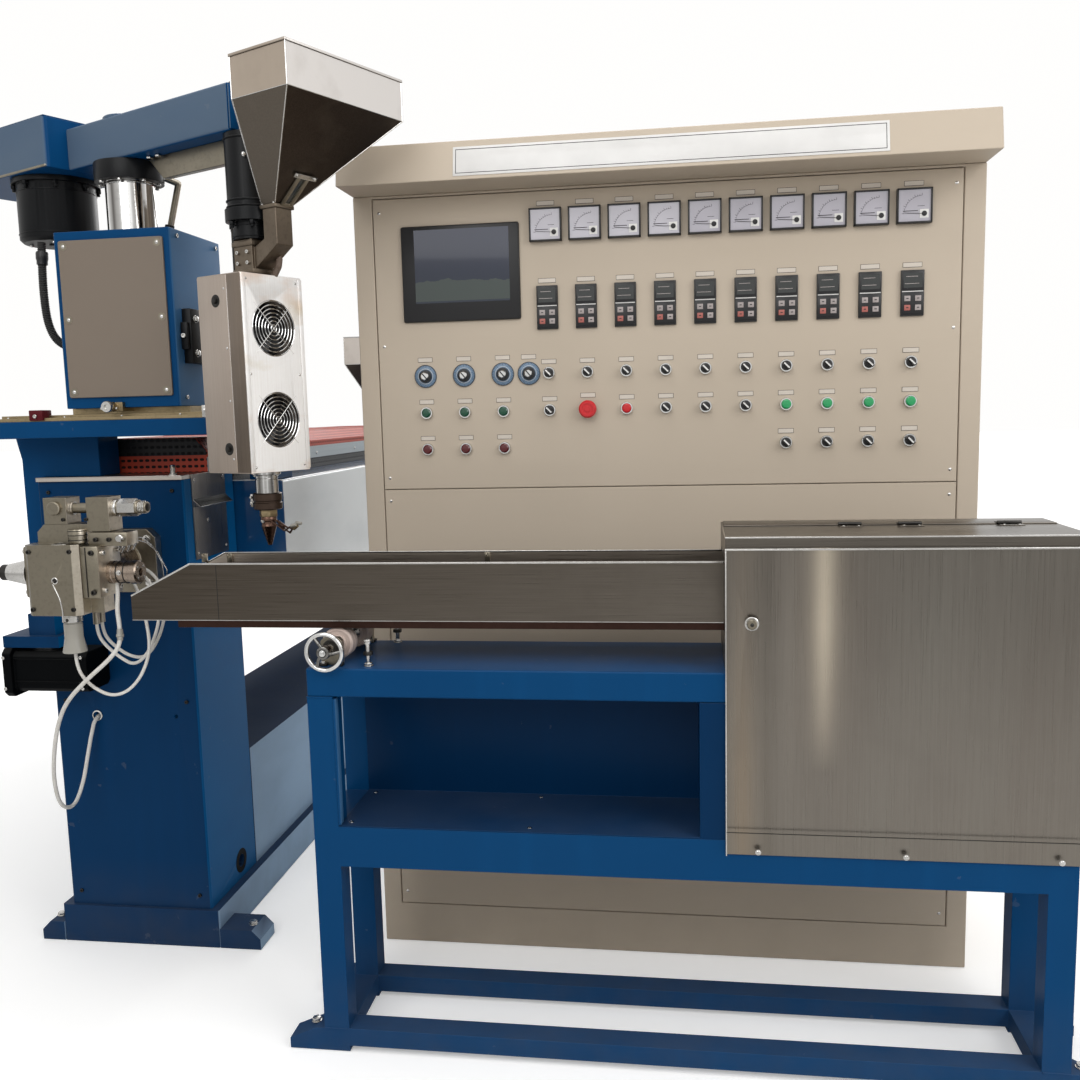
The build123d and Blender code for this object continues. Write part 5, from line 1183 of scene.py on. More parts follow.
# Hopper: rim fold, welded corners and the window plate low on its leaning side
hopper = {"lip": 0.0022, "mouthFrom": 0.083, "band": 0.08, "outletAcross": 0.022, "outlet": (0.459, 0.497)}
window = {"long": 0.072, "wide": 0.022, "edge": 0.005, "up": 0.04, "bolt": 0.0036}
hopperLow, hopperHigh = onArm["arm_hopper"][0]
bandFoot = hopperHigh.z - hopper["band"]
lip = hopper["lip"]
mouthLeft = hopperLow.x + hopper["mouthFrom"]
for low, high in (((mouthLeft - lip, hopperLow.y - lip), (hopperHigh.x + lip, hopperLow.y + 0.003)),
                  ((mouthLeft - lip, hopperHigh.y - 0.003), (hopperHigh.x + lip, hopperHigh.y + lip)),
                  ((mouthLeft - lip, hopperLow.y), (mouthLeft + 0.003, hopperHigh.y)),
                  ((hopperHigh.x - 0.003, hopperLow.y), (hopperHigh.x + lip, hopperHigh.y))):
    block((*low, hopperHigh.z - 0.005), (*high, hopperHigh.z + 0.0006), 0.0009, 0)


def cornersOf(left, right, near, far):    # the corners of an upright opening, one after the other
    return [(left, near), (right, near), (right, far), (left, far)]


mouth = cornersOf(mouthLeft, hopperHigh.x, hopperLow.y, hopperHigh.y)
outlet = cornersOf(*hopper["outlet"], -hopper["outletAcross"], hopper["outletAcross"])
for top, foot in zip(mouth, outlet):    # weld beads on the corners
    wire([(*top, hopperHigh.z - 0.004), (*top, bandFoot), (*foot, hopperLow.z + 0.001)], 0.0014, 1, 6)
wire([(*corner, bandFoot) for corner in mouth[-1:] + mouth[:-1]], 0.0009, 1, 6)
slopeFoot = Vector((hopper["outlet"][1], 0.004, hopperLow.z))
slope = Vector((hopperHigh.x - slopeFoot.x, 0, bandFoot - slopeFoot.z)).normalized()
outOfSlope = Vector((slope.z, 0, -slope.x))
windowPlace = (Matrix.Translation(slopeFoot + slope * window["up"])
               @ Matrix((slope, outRear, outOfSlope)).transposed().to_4x4())
long, wide, edge = window["long"] / 2, window["wide"] / 2, window["edge"]
for side in (-1, 1):    # frame of the window
    laid(windowPlace, (-long, side * wide - edge, 0), (long, side * wide + edge, 0.004), 0.0012, 2)
    laid(windowPlace, (side * long - edge, -wide - edge, 0), (side * long + edge, wide + edge, 0.004),
         0.0012, 2)
laid(windowPlace, (-long, -wide, 0), (long, wide, 0.0012), 0, 3)
laid(windowPlace, (long - 0.002, -0.029, 0.003), (long + 0.008, 0.029, 0.007), 0.0012, 1)
for y in (-0.024, 0.024):
    hexBolt(windowPlace @ Vector((long + 0.003, y, 0.007)), outOfSlope, window["bolt"], 1)
finished("hopper.fittings", "arm_hopper", [hopperSteel, brightSteel, headSteel, controllerGlass],
         turn=armPlace)

# Column: black bearing ring under the arm and its clamp lever
collar = {
    "outline": [(0, 0.0555), (0, 0.0752), (0.004, 0.0758), (0.038, 0.0758), (0.042, 0.0745), (0.042, 0.0555)],
    "deep": 0.042, "bolt": 0.005, "leverRadius": 0.0075,
}
ringFoot = columnHigh.z - collar["deep"]
lathe(collar["outline"], columnAxis + up * (ringFoot - 0.0004), up, 0, 56)
for x, y in around(8, 0.066, radians(10)):
    socketBolt(columnAxis + Vector((x, y, ringFoot)), down, collar["bolt"], 1)
lever = [(0.06, 0.052, ringFoot + 0.02), (0.083, 0.07, ringFoot + 0.01), (0.052, 0.076, 1.742)]
wire([columnAxis + Vector(point) for point in lever], collar["leverRadius"], 2, 14)
drum(0.011, 0.018, columnAxis + Vector((0.052, 0.076, 1.752)), (-0.2, 0.05, -1), 0.003, 0, 20)
for z in (1.722, ringFoot - 0.006):
    hoop(0.0542, 0.0012, columnAxis + up * z, up, 1, 56, 6)
finished("column.ring", "lift_column", [blackPaint, brightSteel, headSteel])
print("arm dressed")


# Carriage: screws of the cover, clamp bar, rail's ends and the locking knob
carriage = {
    "coverScrew": 0.0042,
    "bar": (-0.118, -0.03, 1.421, 1.541),    # near, far, foot and top
    "barSkin": 0.0006, "barBolt": 0.0082, "boxScrew": 0.0048,
    "knob": [(0, 0.0115), (0.002, 0.0125), (0.011, 0.0125), (0.013, 0.0115), (0.013, 0.0055), (0.009, 0.005),
             (0.009, 0)],
}
coverLow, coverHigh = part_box("box_cover")
boxSide = solidsOf("column_box")[0][1].x
for x, z in product((coverLow.x + 0.013, coverHigh.x - 0.013),
                    (coverLow.z + 0.013, (coverLow.z + coverHigh.z) / 2, coverHigh.z - 0.013)):
    panScrew((x, coverLow.y, z), outFront, carriage["coverScrew"], 0)
    drum(0.0085, 0.0007, (x, coverLow.y, z), outFront, 0, 1, 20)
finished("cover.screws", "box_cover", [brightSteel, headSteel])

near, far, foot, top = carriage["bar"]
skin = carriage["barSkin"]
block((boxSide - 0.0225, near - skin, foot - skin), (boxSide + skin, far + skin, top + skin), 0.0025, 0)
for z, y in product((foot + 0.022, top - 0.022), (near + 0.02, far - 0.02)):
    hexBolt((boxSide, y, z), outAlong, carriage["barBolt"], 1)
block((boxSide - 0.02, near - 0.012, foot + 0.03), (boxSide - 0.004, near, top - 0.03), 0.002, 0)
socketBolt((boxSide - 0.012, near - 0.012, foot + 0.06), outFront, 0.0055, 1)
for z, y in product((1.345, 1.7), (-0.12, 0.072)):    # screws that hold the box's side
    socketBolt((boxSide - 0.022, y, z), outAlong, carriage["boxScrew"], 1)
finished("clamp.bar", "column_box", [blackPaint, brightSteel])

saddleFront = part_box("column_saddle")[0].y
lathe(carriage["knob"], (0.078, saddleFront, 1.327), outFront, 0, 28)
for x in (0.06, 0.096):
    socketBolt((x, saddleFront, 1.3235), outFront, 0.0026, 0)
finished("locking.knob", "column_saddle", [brightSteel])

railLow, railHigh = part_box("guide_rail")
block((-0.131, railLow.y - 0.006, railLow.z + 0.002), (-0.097, railLow.y + 0.03, railHigh.z + 0.012),
      0.002, 0)
socketBolt((-0.114, railLow.y - 0.006, railLow.z + 0.012), outFront, 0.0045, 1)
block((railHigh.x - 0.0125, railLow.y - 0.001, railLow.z),
      (railHigh.x + 0.0006, railHigh.y + 0.001, railHigh.z + 0.014), 0.0015, 1)
hexBolt((railHigh.x - 0.006, railLow.y - 0.001, railLow.z + 0.016), outFront, 0.0042, 1)
for x in (-0.19, -0.05, 0.09, 0.23):
    socketBolt((x, railLow.y + 0.006, railLow.z + 0.0078), up, 0.0028, 1)
finished("rail.ends", "guide_rail", [wineBlock, brightSteel])


# Ribbed hose from the arm's motor cable box down to the gland in the column box
hoseRoute = [
    (-0.168, 0.0, 1.722), (-0.17, -0.004, 1.652), (-0.168, -0.008, 1.585), (-0.162, -0.01, 1.53),
    (-0.146, -0.009, 1.492), (-0.114, -0.01, 1.473), (-0.084, -0.01, 1.47), (-0.0553, -0.01, 1.47),
]
hoseSize = {
    "length": 0.328, "diameter": 0.02, "rib": 0.0042, "groove": 0.0016, "sides": 20,
    "lowCoupling": [(0, 0.0125), (0.004, 0.0125), (0.005, 0.014), (0.016, 0.014), (0.018, 0.0125),
                    (0.018, 0.0104), (0, 0.0104)],
    "highCoupling": [(0, 0.0104), (0, 0.0125), (0.003, 0.014), (0.016, 0.014), (0.022, 0.0125),
                     (0.03, 0.0125), (0.03, 0.0104)],
}


def pathOf(route):    # evenly read points of the smooth line through a route
    holder = bpy.data.objects.new("hose line", smoothLine("hose line", route, 24))
    mesh = bpy.data.meshes.new_from_object(holder)
    points = [vertex.co.copy() for vertex in mesh.vertices]
    bpy.data.objects.remove(holder)
    bpy.data.meshes.remove(mesh)
    return points


def alongPath(points, distance):    # place and direction at a distance along
    for start, end in zip(points, points[1:]):
        step = (end - start).length
        if distance <= step or end is points[-1]:
            return start + (end - start) * min(1.0, distance / step), (end - start).normalized()
        distance -= step


hosePath = pathOf(hoseRoute)
hoseLong = sum((end - start).length for start, end in zip(hosePath, hosePath[1:]))
ribs = round(hoseLong / hoseSize["rib"])
sides = hoseSize["sides"]
rings = []
lastWay = alongPath(hosePath, 0.0)[1]
turned = lastWay.to_track_quat("Z", "Y")
for step in range(2 * ribs + 1):
    place, way = alongPath(hosePath, hoseLong * step / (2 * ribs))
    radius = hoseSize["diameter"] / 2 - (hoseSize["groove"] if step % 2 else 0)
    turned = lastWay.rotation_difference(way) @ turned    # turned as little as may be from the ring before
    lastWay = way
    ring = bmesh.ops.create_circle(bm, radius=radius, segments=sides)["verts"]
    bmesh.ops.transform(bm, matrix=Matrix.Translation(place) @ turned.to_matrix().to_4x4(), verts=ring)
    rings.append(ring)
for first, second in zip(rings, rings[1:]):
    for spot in range(sides):
        after = (spot + 1) % sides
        bm.faces.new((first[spot], first[after], second[after], second[spot]))
bm.faces.new(rings[0])
bm.faces.new(rings[-1])
hose = finished("hose", "conduit", [rubber], True, angle=60)
lathe(hoseSize["lowCoupling"], hoseRoute[-1], inAlong, 0, 24)
lathe(hoseSize["highCoupling"], (-0.1685, -0.001, 1.7), (-0.02, -0.05, -1), 0, 24)
finished("hose.couplings", "conduit", [blackPlastic])
print("carriage dressed, hose of", ribs, "ribs")


# Head: sensor hole, sockets, sleeve of the clamp bolt, inlet cone. Outlines run out from the head.
head = {
    "sensorAt": (0.044, 0.967),
    "screwsAt": ((0.082, 0.906), (-0.01, 0.906), (-0.01, 1.028), (0.082, 1.028)),
    "screw": 0.0048,
    "seat": [(0.0, 0.0185), (0.0012, 0.0185), (0.0012, 0.015), (0.0003, 0.015), (0.0003, 0)],
    "plateThick": 0.021,
    "cone": [(0, 0.0), (0, 0.03), (0.004, 0.03), (0.006, 0.028), (0.052, 0.0185), (0.054, 0.0165),
             (0.056, 0.0165)],
    "inlet": [(0.054, 0.0), (0.054, 0.0172), (0.067, 0.0172), (0.069, 0.0155), (0.069, 0.0045),
              (0.064, 0.0045), (0.064, 0)],
}
headLow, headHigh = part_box("head_body")
clampLow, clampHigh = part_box("head_clamp")
lineY, lineZ = (clampLow.y + clampHigh.y) / 2, headLow.z + 0.116    # where the wire runs
sensor = (head["sensorAt"][0], headLow.y, head["sensorAt"][1])
hoop(0.0062, 0.0012, sensor, outFront, 1, 24, 6)
lathe([(0.0003, 0.0058), (0.0005, 0.0)], sensor, outFront, 2, 20)
for x, z in head["screwsAt"]:
    socketBolt((x, headLow.y + 0.0012, z), outFront, head["screw"], 2)
seat = (0.052, headLow.y + 0.02, 1.042)
lathe(head["seat"], seat, up, 1, 32)
lathe([(0.0006, 0.0148), (0.0007, 0.0)], seat, up, 2, 28)
inletFoot = (headLow.x - head["plateThick"], lineY, lineZ)
block((inletFoot[0], lineY - 0.0275, 0.925), (headLow.x, lineY + 0.0275, 1.035), 0.004, 0)
for z in (0.936, 1.024):
    socketBolt((inletFoot[0], lineY - 0.018, z), inAlong, 0.0045, 1)
lathe(head["cone"], inletFoot, inAlong, 1, 36)
lathe(head["inlet"], inletFoot, inAlong, 2, 36)
finished("head.details", "head_body", [headSteel, brightSteel, darkSteel])

clamp = {
    "boltFrom": 0.147,    # from the clamp's left side
    "boltRadius": 0.0188, "threads": 4,
    "eyeScrew": [(0, 0.013), (0.003, 0.0145), (0.006, 0.0145), (0.0075, 0.0125), (0.0075, 0)],
    "plug": [(0, 0.0085), (0.01, 0.0085), (0.013, 0.0065), (0.013, 0)],
    "padAt": (0.085, 1.043), "screw": 0.0048,
}
boltFoot, axisZ = clampLow.x + clamp["boltFrom"], clampHigh.z - 0.024
lathe(clamp["eyeScrew"], (clampLow.x + 0.026, clampLow.y, axisZ + 0.002), outFront, 0, 28)
for x in (clampLow.x + 0.044, clampLow.x + 0.096):
    socketBolt((x, clampLow.y, clampHigh.z - 0.046), outFront, 0.0038, 2)
drum(clamp["boltRadius"], 0.01, (boltFoot, lineY, axisZ), outAlong, 0.0012, 1, 32)
drum(clamp["boltRadius"], 0.04, (boltFoot + 0.012, lineY, axisZ), outAlong, 0.0015, 1, 6)
for step in range(clamp["threads"]):    # thread turns on the bolt's end
    hoop(0.0122, 0.0013, (boltFoot + 0.0585 + step * 0.0035, lineY, axisZ), outAlong, 1, 28, 6)
drum(0.0085, 0.0012, (clampHigh.x, lineY, axisZ), outAlong, 0.0003, 2, 20)
for x in (clampLow.x + 0.0545, clampLow.x + 0.0925):
    sleeve(0.0112, 0.0142, 0.004, (x - 0.002, lineY, axisZ), outAlong, 1, 28)
padX, padFoot = clamp["padAt"]
drum(0.0185, 0.03, (padX, lineY - 0.03, padFoot), up, 0.002, 0, 32)    # round banded pad
for z in (0.007, 0.017, 0.026):
    hoop(0.0186, 0.0009, (padX, lineY - 0.03, padFoot + z), up, 2, 32, 6)
block((0.11, lineY - 0.034, 1.036), (0.198, lineY + 0.012, 1.065), 0.0025, 0)
lathe(clamp["plug"], (0.186, lineY - 0.034, 1.053), outFront, 1, 20)
for x in (0.128, 0.158):
    socketBolt((x, lineY - 0.034, 1.05), outFront, clamp["screw"], 2)
finished("clamp.details", "head_clamp", [headSteel, brightSteel, darkSteel])

die = {
    "blockLong": 0.041, "bolt": 0.0055,
    "outline": [(0.041, 0.0), (0.041, 0.0245), (0.05, 0.0245), (0.052, 0.0232), (0.088, 0.0232),
                (0.0895, 0.025), (0.104, 0.025), (0.107, 0.0225), (0.107, 0.0085), (0.098, 0.0065),
                (0.098, 0.0)],
    "bands": (0.062, 0.078),
}
dieFoot = headHigh.x - 0.03
dieFace = dieFoot + die["blockLong"]
block((dieFoot, lineY - 0.048, 0.927), (dieFace, lineY + 0.04, 1.038), 0.0035, 0)
block((dieFoot + 0.012, lineY - 0.0495, 0.93), (dieFoot + 0.0135, lineY - 0.0475, 1.035), 0.0004, 2)
for z in (0.94, 1.024):
    socketBolt((dieFoot + 0.027, lineY - 0.048, z), outFront, die["bolt"], 2)
for y, z in product((lineY - 0.032, lineY + 0.026), (0.942, 1.022)):
    socketBolt((dieFace, y, z), outAlong, die["bolt"], 1)
lathe(die["outline"], (dieFoot, lineY, lineZ), outAlong, 3, 44)
for spot in die["bands"]:    # heater band round the die
    hoop(0.0236, 0.0012, (dieFoot + spot, lineY, lineZ), outAlong, 2, 44, 6)
drum(0.0082, 0.0012, (dieFoot + 0.098, lineY, lineZ), outAlong, 0.0, 2, 24)
for x, y in around(4, 0.0165, radians(45)):
    panScrew((dieFoot + 0.107, lineY + x, lineZ + y), outAlong, 0.0022, 1)
hexBolt((dieFoot + 0.07, lineY - 0.0236, lineZ + 0.002), outFront, 0.0052, 1)
finished("die.details", "head_fittings", [headSteel, brightSteel, darkSteel, copperSteel])

# Barrel end: band heaters with clamp screws, flange bolts, and two stiff sensor wires
barrel = {
    "bands": ((-0.249, -0.207), (-0.203, -0.161), (-0.157, -0.112)),
    "bandInner": 0.0462, "bandOuter": 0.049, "flangeBolt": 0.0095,
    "wires": ([(0.118, -0.18, 1.034), (0.15, -0.205, 1.036), (0.18, -0.22, 1.02), (0.203, -0.226, 0.985),
               (0.206, -0.226, 0.95)],
              [(0.118, -0.17, 1.026), (0.156, -0.2, 1.024), (0.19, -0.216, 1.004), (0.212, -0.222, 0.965),
               (0.208, -0.222, 0.935)]),
    "wireRadius": 0.0011,
}
barrelLow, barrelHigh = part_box("barrel_end")
barrelX, barrelZ = (barrelLow.x + barrelHigh.x) / 2, (barrelLow.z + barrelHigh.z) / 2
for start, end in barrel["bands"]:
    sleeve(barrel["bandInner"], barrel["bandOuter"], end - start, (barrelX, end, barrelZ), outFront, 0,
           56)
    for y in (start + 0.01, end - 0.01):
        drum(0.0035, 0.02, (barrelX + 0.04, y, barrelZ + 0.03), (0.5, 0, 0.8), 0.0006, 1, 12)
for x, z in product((barrelLow.x + 0.02, barrelHigh.x - 0.02), (barrelLow.z + 0.024, barrelHigh.z - 0.024)):
    hexBolt((x, barrelHigh.y - 0.028, z), outFront, barrel["flangeBolt"], 1)
for points in barrel["wires"]:
    wire(points, barrel["wireRadius"], 1, 8)
finished("barrel.bands", "barrel_end", [copperSteel, brightSteel])

lathe([(0, 0.0192), (0, 0.0205), (0.012, 0.0205), (0.014, 0.0192)], (0.06, -0.35, 0.876), up, 0, 32)
sleeve(0.0175, 0.0215, 0.003, (0.06, -0.35, 0.889), up, 0, 32)
panScrew((0.06, -0.3702, 0.882), outFront, 0.0028, 1)
finished("plug.collar", "ceramic_plug", [brightSteel, darkSteel])

# Pedestal: ledge strip with punched holes, posts on the drip plate, motor ribs, bolts, cable ring
ledge = {"top": 0.06, "foot": 0.078, "out": 0.018, "thick": 0.0008, "holes": 11, "hole": (0.0036, 0.0005),
         "screw": 0.0042}
sideLow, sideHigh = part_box("side_plate")
ledgeFoot = sideHigh.z - ledge["foot"]
ledgeLong = sideHigh.y - sideLow.y - 0.004
fall = Vector((ledge["out"], 0, ledge["top"] - ledge["foot"]))
slopeWay = fall.normalized()
slopeUp = Vector((-slopeWay.z, 0, slopeWay.x))
middle = Vector((sideHigh.x, (sideLow.y + sideHigh.y) / 2, ledgeFoot)) - fall / 2
ledgePlace = Matrix.Translation(middle) @ Matrix((slopeWay, outRear, slopeUp)).transposed().to_4x4()
laid(ledgePlace, (-fall.length / 2, -ledgeLong / 2, 0),
     (fall.length / 2, ledgeLong / 2, ledge["thick"]), 0, 0)
for step in range(ledge["holes"]):
    y = sideLow.y + 0.012 + step * (ledgeLong - 0.02) / (ledge["holes"] - 1) - middle.y
    hoop(*ledge["hole"], middle + outRear * y + slopeUp * ledge["thick"], slopeUp, 2, 14, 5)
wire([(sideHigh.x, sideLow.y + 0.001, ledgeFoot + 0.0006),
          (sideHigh.x, sideHigh.y - 0.001, ledgeFoot + 0.0006)], 0.0012, 1, 8)
near, far = sideLow.y + 0.012, sideHigh.y - 0.014
for y, z in ((near, 1.15), (far, 1.15), (near, 0.975), (far, 0.975), (sideLow.y + 0.07, 1.05)):
    panScrew((sideHigh.x - ledge["out"], y, z), outAlong, ledge["screw"], 1)
finished("ledge.strip", "side_plate", [deepBlack, brightSteel, darkSteel])

drip = {
    "post": (-0.05, -0.012), "valveAt": (0.146, -0.04),
    "valve": [(0, 0.0095), (0.003, 0.0095), (0.004, 0.006), (0.016, 0.006), (0.02, 0.0075), (0.024, 0.006),
              (0.025, 0)],
}
dripLow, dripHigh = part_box("drip_plate")
post = (*drip["post"], dripHigh.z)
drum(0.0045, 0.095, post, up, 0.0006, 0, 14)
hexBolt(post, up, 0.0085, 0)
lathe(drip["valve"], (*drip["valveAt"], dripHigh.z), up, 0, 20)
block((dripLow.x + 0.002, dripLow.y - 0.0006, dripHigh.z - 0.0015),
      (dripHigh.x - 0.002, dripLow.y + 0.003, dripHigh.z + 0.0004), 0.0004, 1)
finished("drip.posts", "drip_plate", [brightSteel, hopperSteel])

motorCap = [(0, 0.032), (0.006, 0.032), (0.008, 0.029), (0.008, 0.012), (0.012, 0.011), (0.012, 0)]
motorLow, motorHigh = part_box("side_motor")
for z, x in product((motorLow.z + 0.022, motorHigh.z - 0.022), (motorLow.x + 0.006, motorHigh.x - 0.012)):
    socketBolt((x, motorLow.y + 0.011 if x > -0.1 else motorLow.y, z), outFront, 0.0042, 1)
for z in (motorLow.z + 0.034, motorHigh.z - 0.03):    # ribs along the motor
    block((motorLow.x + 0.02, motorLow.y + 0.0085, z),
          (motorHigh.x - 0.01, motorLow.y + 0.0118, z + 0.004), 0.0008, 0)
lathe(motorCap, (motorLow.x, (motorLow.y + motorHigh.y) / 2, (motorLow.z + motorHigh.z) / 2), inAlong,
      0, 32)
finished("motor.ribs", "side_motor", [deepBlack, brightSteel])

pedestal = {
    "cableRing": [(0, 0.01), (0, 0.013), (0.002, 0.013), (0.003, 0.01)],
    "cableAt": (-0.077, 0.583), "coverScrew": 0.0046, "footBolt": 0.011,
    "feet": ((-0.235, -0.045), (0.279, -0.045), (-0.235, 2.8), (0.235, 2.8)),
    "footThick": 0.048,
    "wornRim": [(0, 0.0168), (0.0008, 0.0168), (0.0008, 0.031), (0.0, 0.0315)],
    "sideHoleAt": (0.108, 0.141),
}
pedestalLow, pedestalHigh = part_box("front_pedestal")
cableX, cableZ = pedestal["cableAt"]
lathe(pedestal["cableRing"], (cableX, pedestalLow.y + 0.0955, cableZ), outFront, 1, 24)
for x, z in product((pedestalHigh.x - 0.028, -0.157), (0.13, 0.62, 1.13)):
    socketBolt((x, -0.07, z), outFront, pedestal["coverScrew"], 0)
for x, y in pedestal["feet"]:
    hexBolt((x, y, pedestal["footThick"]), up, pedestal["footBolt"], 1)
sideHole = Vector((pedestalHigh.x, *pedestal["sideHoleAt"]))    # a worn dark rim, and a bolt deep inside
lathe(pedestal["wornRim"], sideHole, outAlong, 2, 32)
socketBolt(sideHole - outAlong * 0.024, outAlong, 0.0075, 1)
finished("pedestal.bolts", "front_pedestal", [darkSteel, brightSteel, deepBlack])

# Trough: bright folded lips, a seam, wire guides on the rear wall
lip = {
    "tip": (0.225, 0.9405),    # where the slanting end starts, and where the wall is full
    "full": (0.357, 1.006), "thick": 0.0005, "deep": 0.0028, "rise": 0.0007,
    "guides": (0.312, 0.37, 0.939),
}
troughLow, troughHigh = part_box("cooling_trough")
(tipX, tipZ), (fullX, fullZ) = lip["tip"], lip["full"]
slant = Vector((fullX - tipX, 0, fullZ - tipZ))
slantPlace = Matrix.Translation((tipX, 0, tipZ)) @ Matrix.Rotation(-atan2(slant.z, slant.x), 4, "Y")
for low, high in ((troughLow.y - lip["thick"], troughLow.y + 0.003),
                  (troughHigh.y - 0.003, troughHigh.y + lip["thick"])):
    block((fullX, low, fullZ - lip["deep"]), (troughHigh.x - 0.001, high, fullZ + lip["rise"]), 0.0004, 0)
    laid(slantPlace, (0, low, -lip["deep"]), (slant.length, high, lip["rise"]), 0.0004, 0)
block((0.412, troughLow.y - 0.0003, 0.89), (0.4134, troughLow.y + 0.001, 1.003), 0, 1)
block((troughLow.x + 0.0002, troughLow.y - 0.0004, 0.8888), (1.42, troughLow.y + 0.001, 0.8902), 0, 0)
for x in lip["guides"]:    # a strap over the rear wall with a small eye
    block((x - 0.006, troughHigh.y - 0.01, 0.985), (x + 0.006, troughHigh.y - 0.003, 1.0045), 0.001, 2)
    hoop(0.0042, 0.0011, (x, troughHigh.y - 0.013, 1.0), outAlong, 2, 20, 6)
finished("trough.lips", "cooling_trough", [brightSteel, darkSteel, headSteel])

block((troughLow.x + 0.095, troughLow.y + 0.0078, troughLow.z + 0.0004),
      (troughHigh.x - 0.06, troughLow.y + 0.01, 0.8886), 0, 0)
finished("trough.rail", "cooling_trough", [railSteel])

# Rollers with grooved rims on their shaft, and the spoked handwheel
roller = {"radius": 0.032, "wide": 0.036, "inset": 0.012, "shaft": 0.009, "collar": (0.0088, 0.0145, 0.005)}
rollerOutline = [(0, 0.0092), (0.001, 0.017), (0.003, 0.018), (0.003, 0.026), (0.0, 0.027), (0.0005, 0.0295),
                 (0.0035, roller["radius"]), (0.016, roller["radius"]), (0.018, 0.0306),
                 (0.02, roller["radius"]), (0.0325, roller["radius"]), (0.0355, 0.0295), (0.036, 0.027),
                 (0.033, 0.026), (0.033, 0.018), (0.035, 0.017), (0.036, 0.0092)]
rollerLow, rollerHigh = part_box("roller_set")
axle = Vector(((rollerLow.x + rollerHigh.x) / 2, 0, (rollerLow.z + rollerHigh.z) / 2))
drum(roller["shaft"], rollerHigh.y - rollerLow.y, axle + outRear * rollerLow.y, outRear, 0.001, 1, 28)
for y in (troughLow.y + roller["inset"], troughHigh.y - roller["inset"] - roller["wide"]):
    lathe(rollerOutline, axle + outRear * y, outRear, 0, 64)
    for end in (y - 0.005, y + roller["wide"]):    # set collars
        sleeve(*roller["collar"], axle + outRear * end, outRear, 1, 28)
finished("rollers", "roller_set", [nylon, brightSteel], True)

wheel = {
    "radius": 0.04, "rim": 0.0046,
    "hub": [(-0.01, 0.0), (-0.01, 0.0085), (-0.0085, 0.01242), (-0.004, 0.0135), (0.008, 0.0135),
            (0.01, 0.012), (0.01, 0.0092)],
    "spokes": 3, "spokeAt": radians(110), "spokeRadius": 0.0034,
    "reach": ((0.01, 0.004, 0.0), (0.019, 0.0045, 0.1), (0.028, 0.002, 0.2), (0.036, 0.0, 0.24)),
}
wheelLow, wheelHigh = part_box("handwheel")
centre = axle + Vector((0, (wheelLow.y + wheelHigh.y) / 2, 0))
hoop(wheel["radius"] - wheel["rim"], wheel["rim"], centre, outRear, 0, 64, 14)
lathe(wheel["hub"], centre, outRear, 1, 36)
hexBolt(centre - outRear * 0.01, outFront, 0.0062, 0)
for index in range(wheel["spokes"]):    # each spoke dishes from the hub out to the rim
    angle = wheel["spokeAt"] + index * 2 * pi / wheel["spokes"]
    points = [centre + Vector((far * cos(angle + twist), -out, far * sin(angle + twist)))
              for far, out, twist in wheel["reach"]]
    wire(points, wheel["spokeRadius"], 1, 12)
finished("handwheel.dressed", "handwheel", [chrome, darkChrome], True)

bearing = [(0, 0.0094), (0, 0.0165), (0.003, 0.0165), (0.004, 0.015), (0.004, 0.0094)]
adjuster = {"at": ((0.73, -0.424), (0.73, -0.215)), "high": 0.05, "nut": 0.0088}
bracketLow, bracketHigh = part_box("roller_brackets")
foot = bracketLow.z
for y, way, low, high in ((bracketLow.y + 0.0005, -1, 0.01, 0.006), (bracketHigh.y - 0.0005, 1, 0.006, 0.01)):
    lathe(bearing, axle + outRear * y, (0, way, 0), 0, 32)
    for x in (axle.x - 0.016, axle.x + 0.016):
        block((x - 0.008, y - low, foot), (x + 0.008, y + high, foot + 0.006), 0.0012, 0)
        hexBolt((x, y + way * 0.0045, foot + 0.006), up, 0.0046, 1)
for x, y in adjuster["at"]:    # adjusting screws with locknuts
    drum(0.0042, adjuster["high"], (x, y, foot), up, 0.0006, 1, 14)
    hexBolt((x, y, foot), up, adjuster["nut"], 1)
    drum(0.0095, 0.007, (x, y, foot + 0.022), up, 0.0008, 0, 6)
    drum(0.0075, 0.01, (x, y, foot + adjuster["high"] - 0.006), up, 0.0012, 1, 20)
finished("bracket.bolts", "roller_brackets", [darkSteel, brightSteel])

# Tank: knob ring, fold and screws of the front sheet, bright lid edges, hinges
tank = {
    "face": -0.465,
    "knobAt": (0.047, 0.137),    # from the sheet's left and top edge
    "knobRing": [(0, 0.0092), (0, 0.0128), (0.002, 0.0128), (0.003, 0.0115), (0.003, 0.0092)],
    "knob": [(0.003, 0.0092), (0.0105, 0.0092), (0.0125, 0.0078), (0.0125, 0.0)],
    "screw": 0.0044, "screwHeight": 0.466, "hinges": (1.666, 1.778, 1.96),
    "leaf": 0.022,    # half the length of a hinge
}
panelLow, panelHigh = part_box("front_panel")
sheetFace = tank["face"]
knob = Vector((panelLow.x + tank["knobAt"][0], sheetFace, panelHigh.z - tank["knobAt"][1]))
lathe(tank["knobRing"], knob, outFront, 0, 32)
lathe(tank["knob"], knob, outFront, 1, 28)
panScrew(knob - outRear * 0.0125, outFront, 0.0028, 2)
block((panelLow.x + 0.0005, sheetFace - 0.0006, 0.5024),
      (panelHigh.x - 0.0005, sheetFace + 0.001, 0.5036), 0, 2)
for x in (panelLow.x + 0.059, panelLow.x + 0.325, panelHigh.x - 0.036):
    panScrew((x, sheetFace, tank["screwHeight"]), outFront, tank["screw"], 0)
block((panelLow.x, sheetFace - 0.0005, panelHigh.z - 0.003),
      (panelHigh.x, sheetFace + 0.002, panelHigh.z + 0.0003), 0.0005, 0)
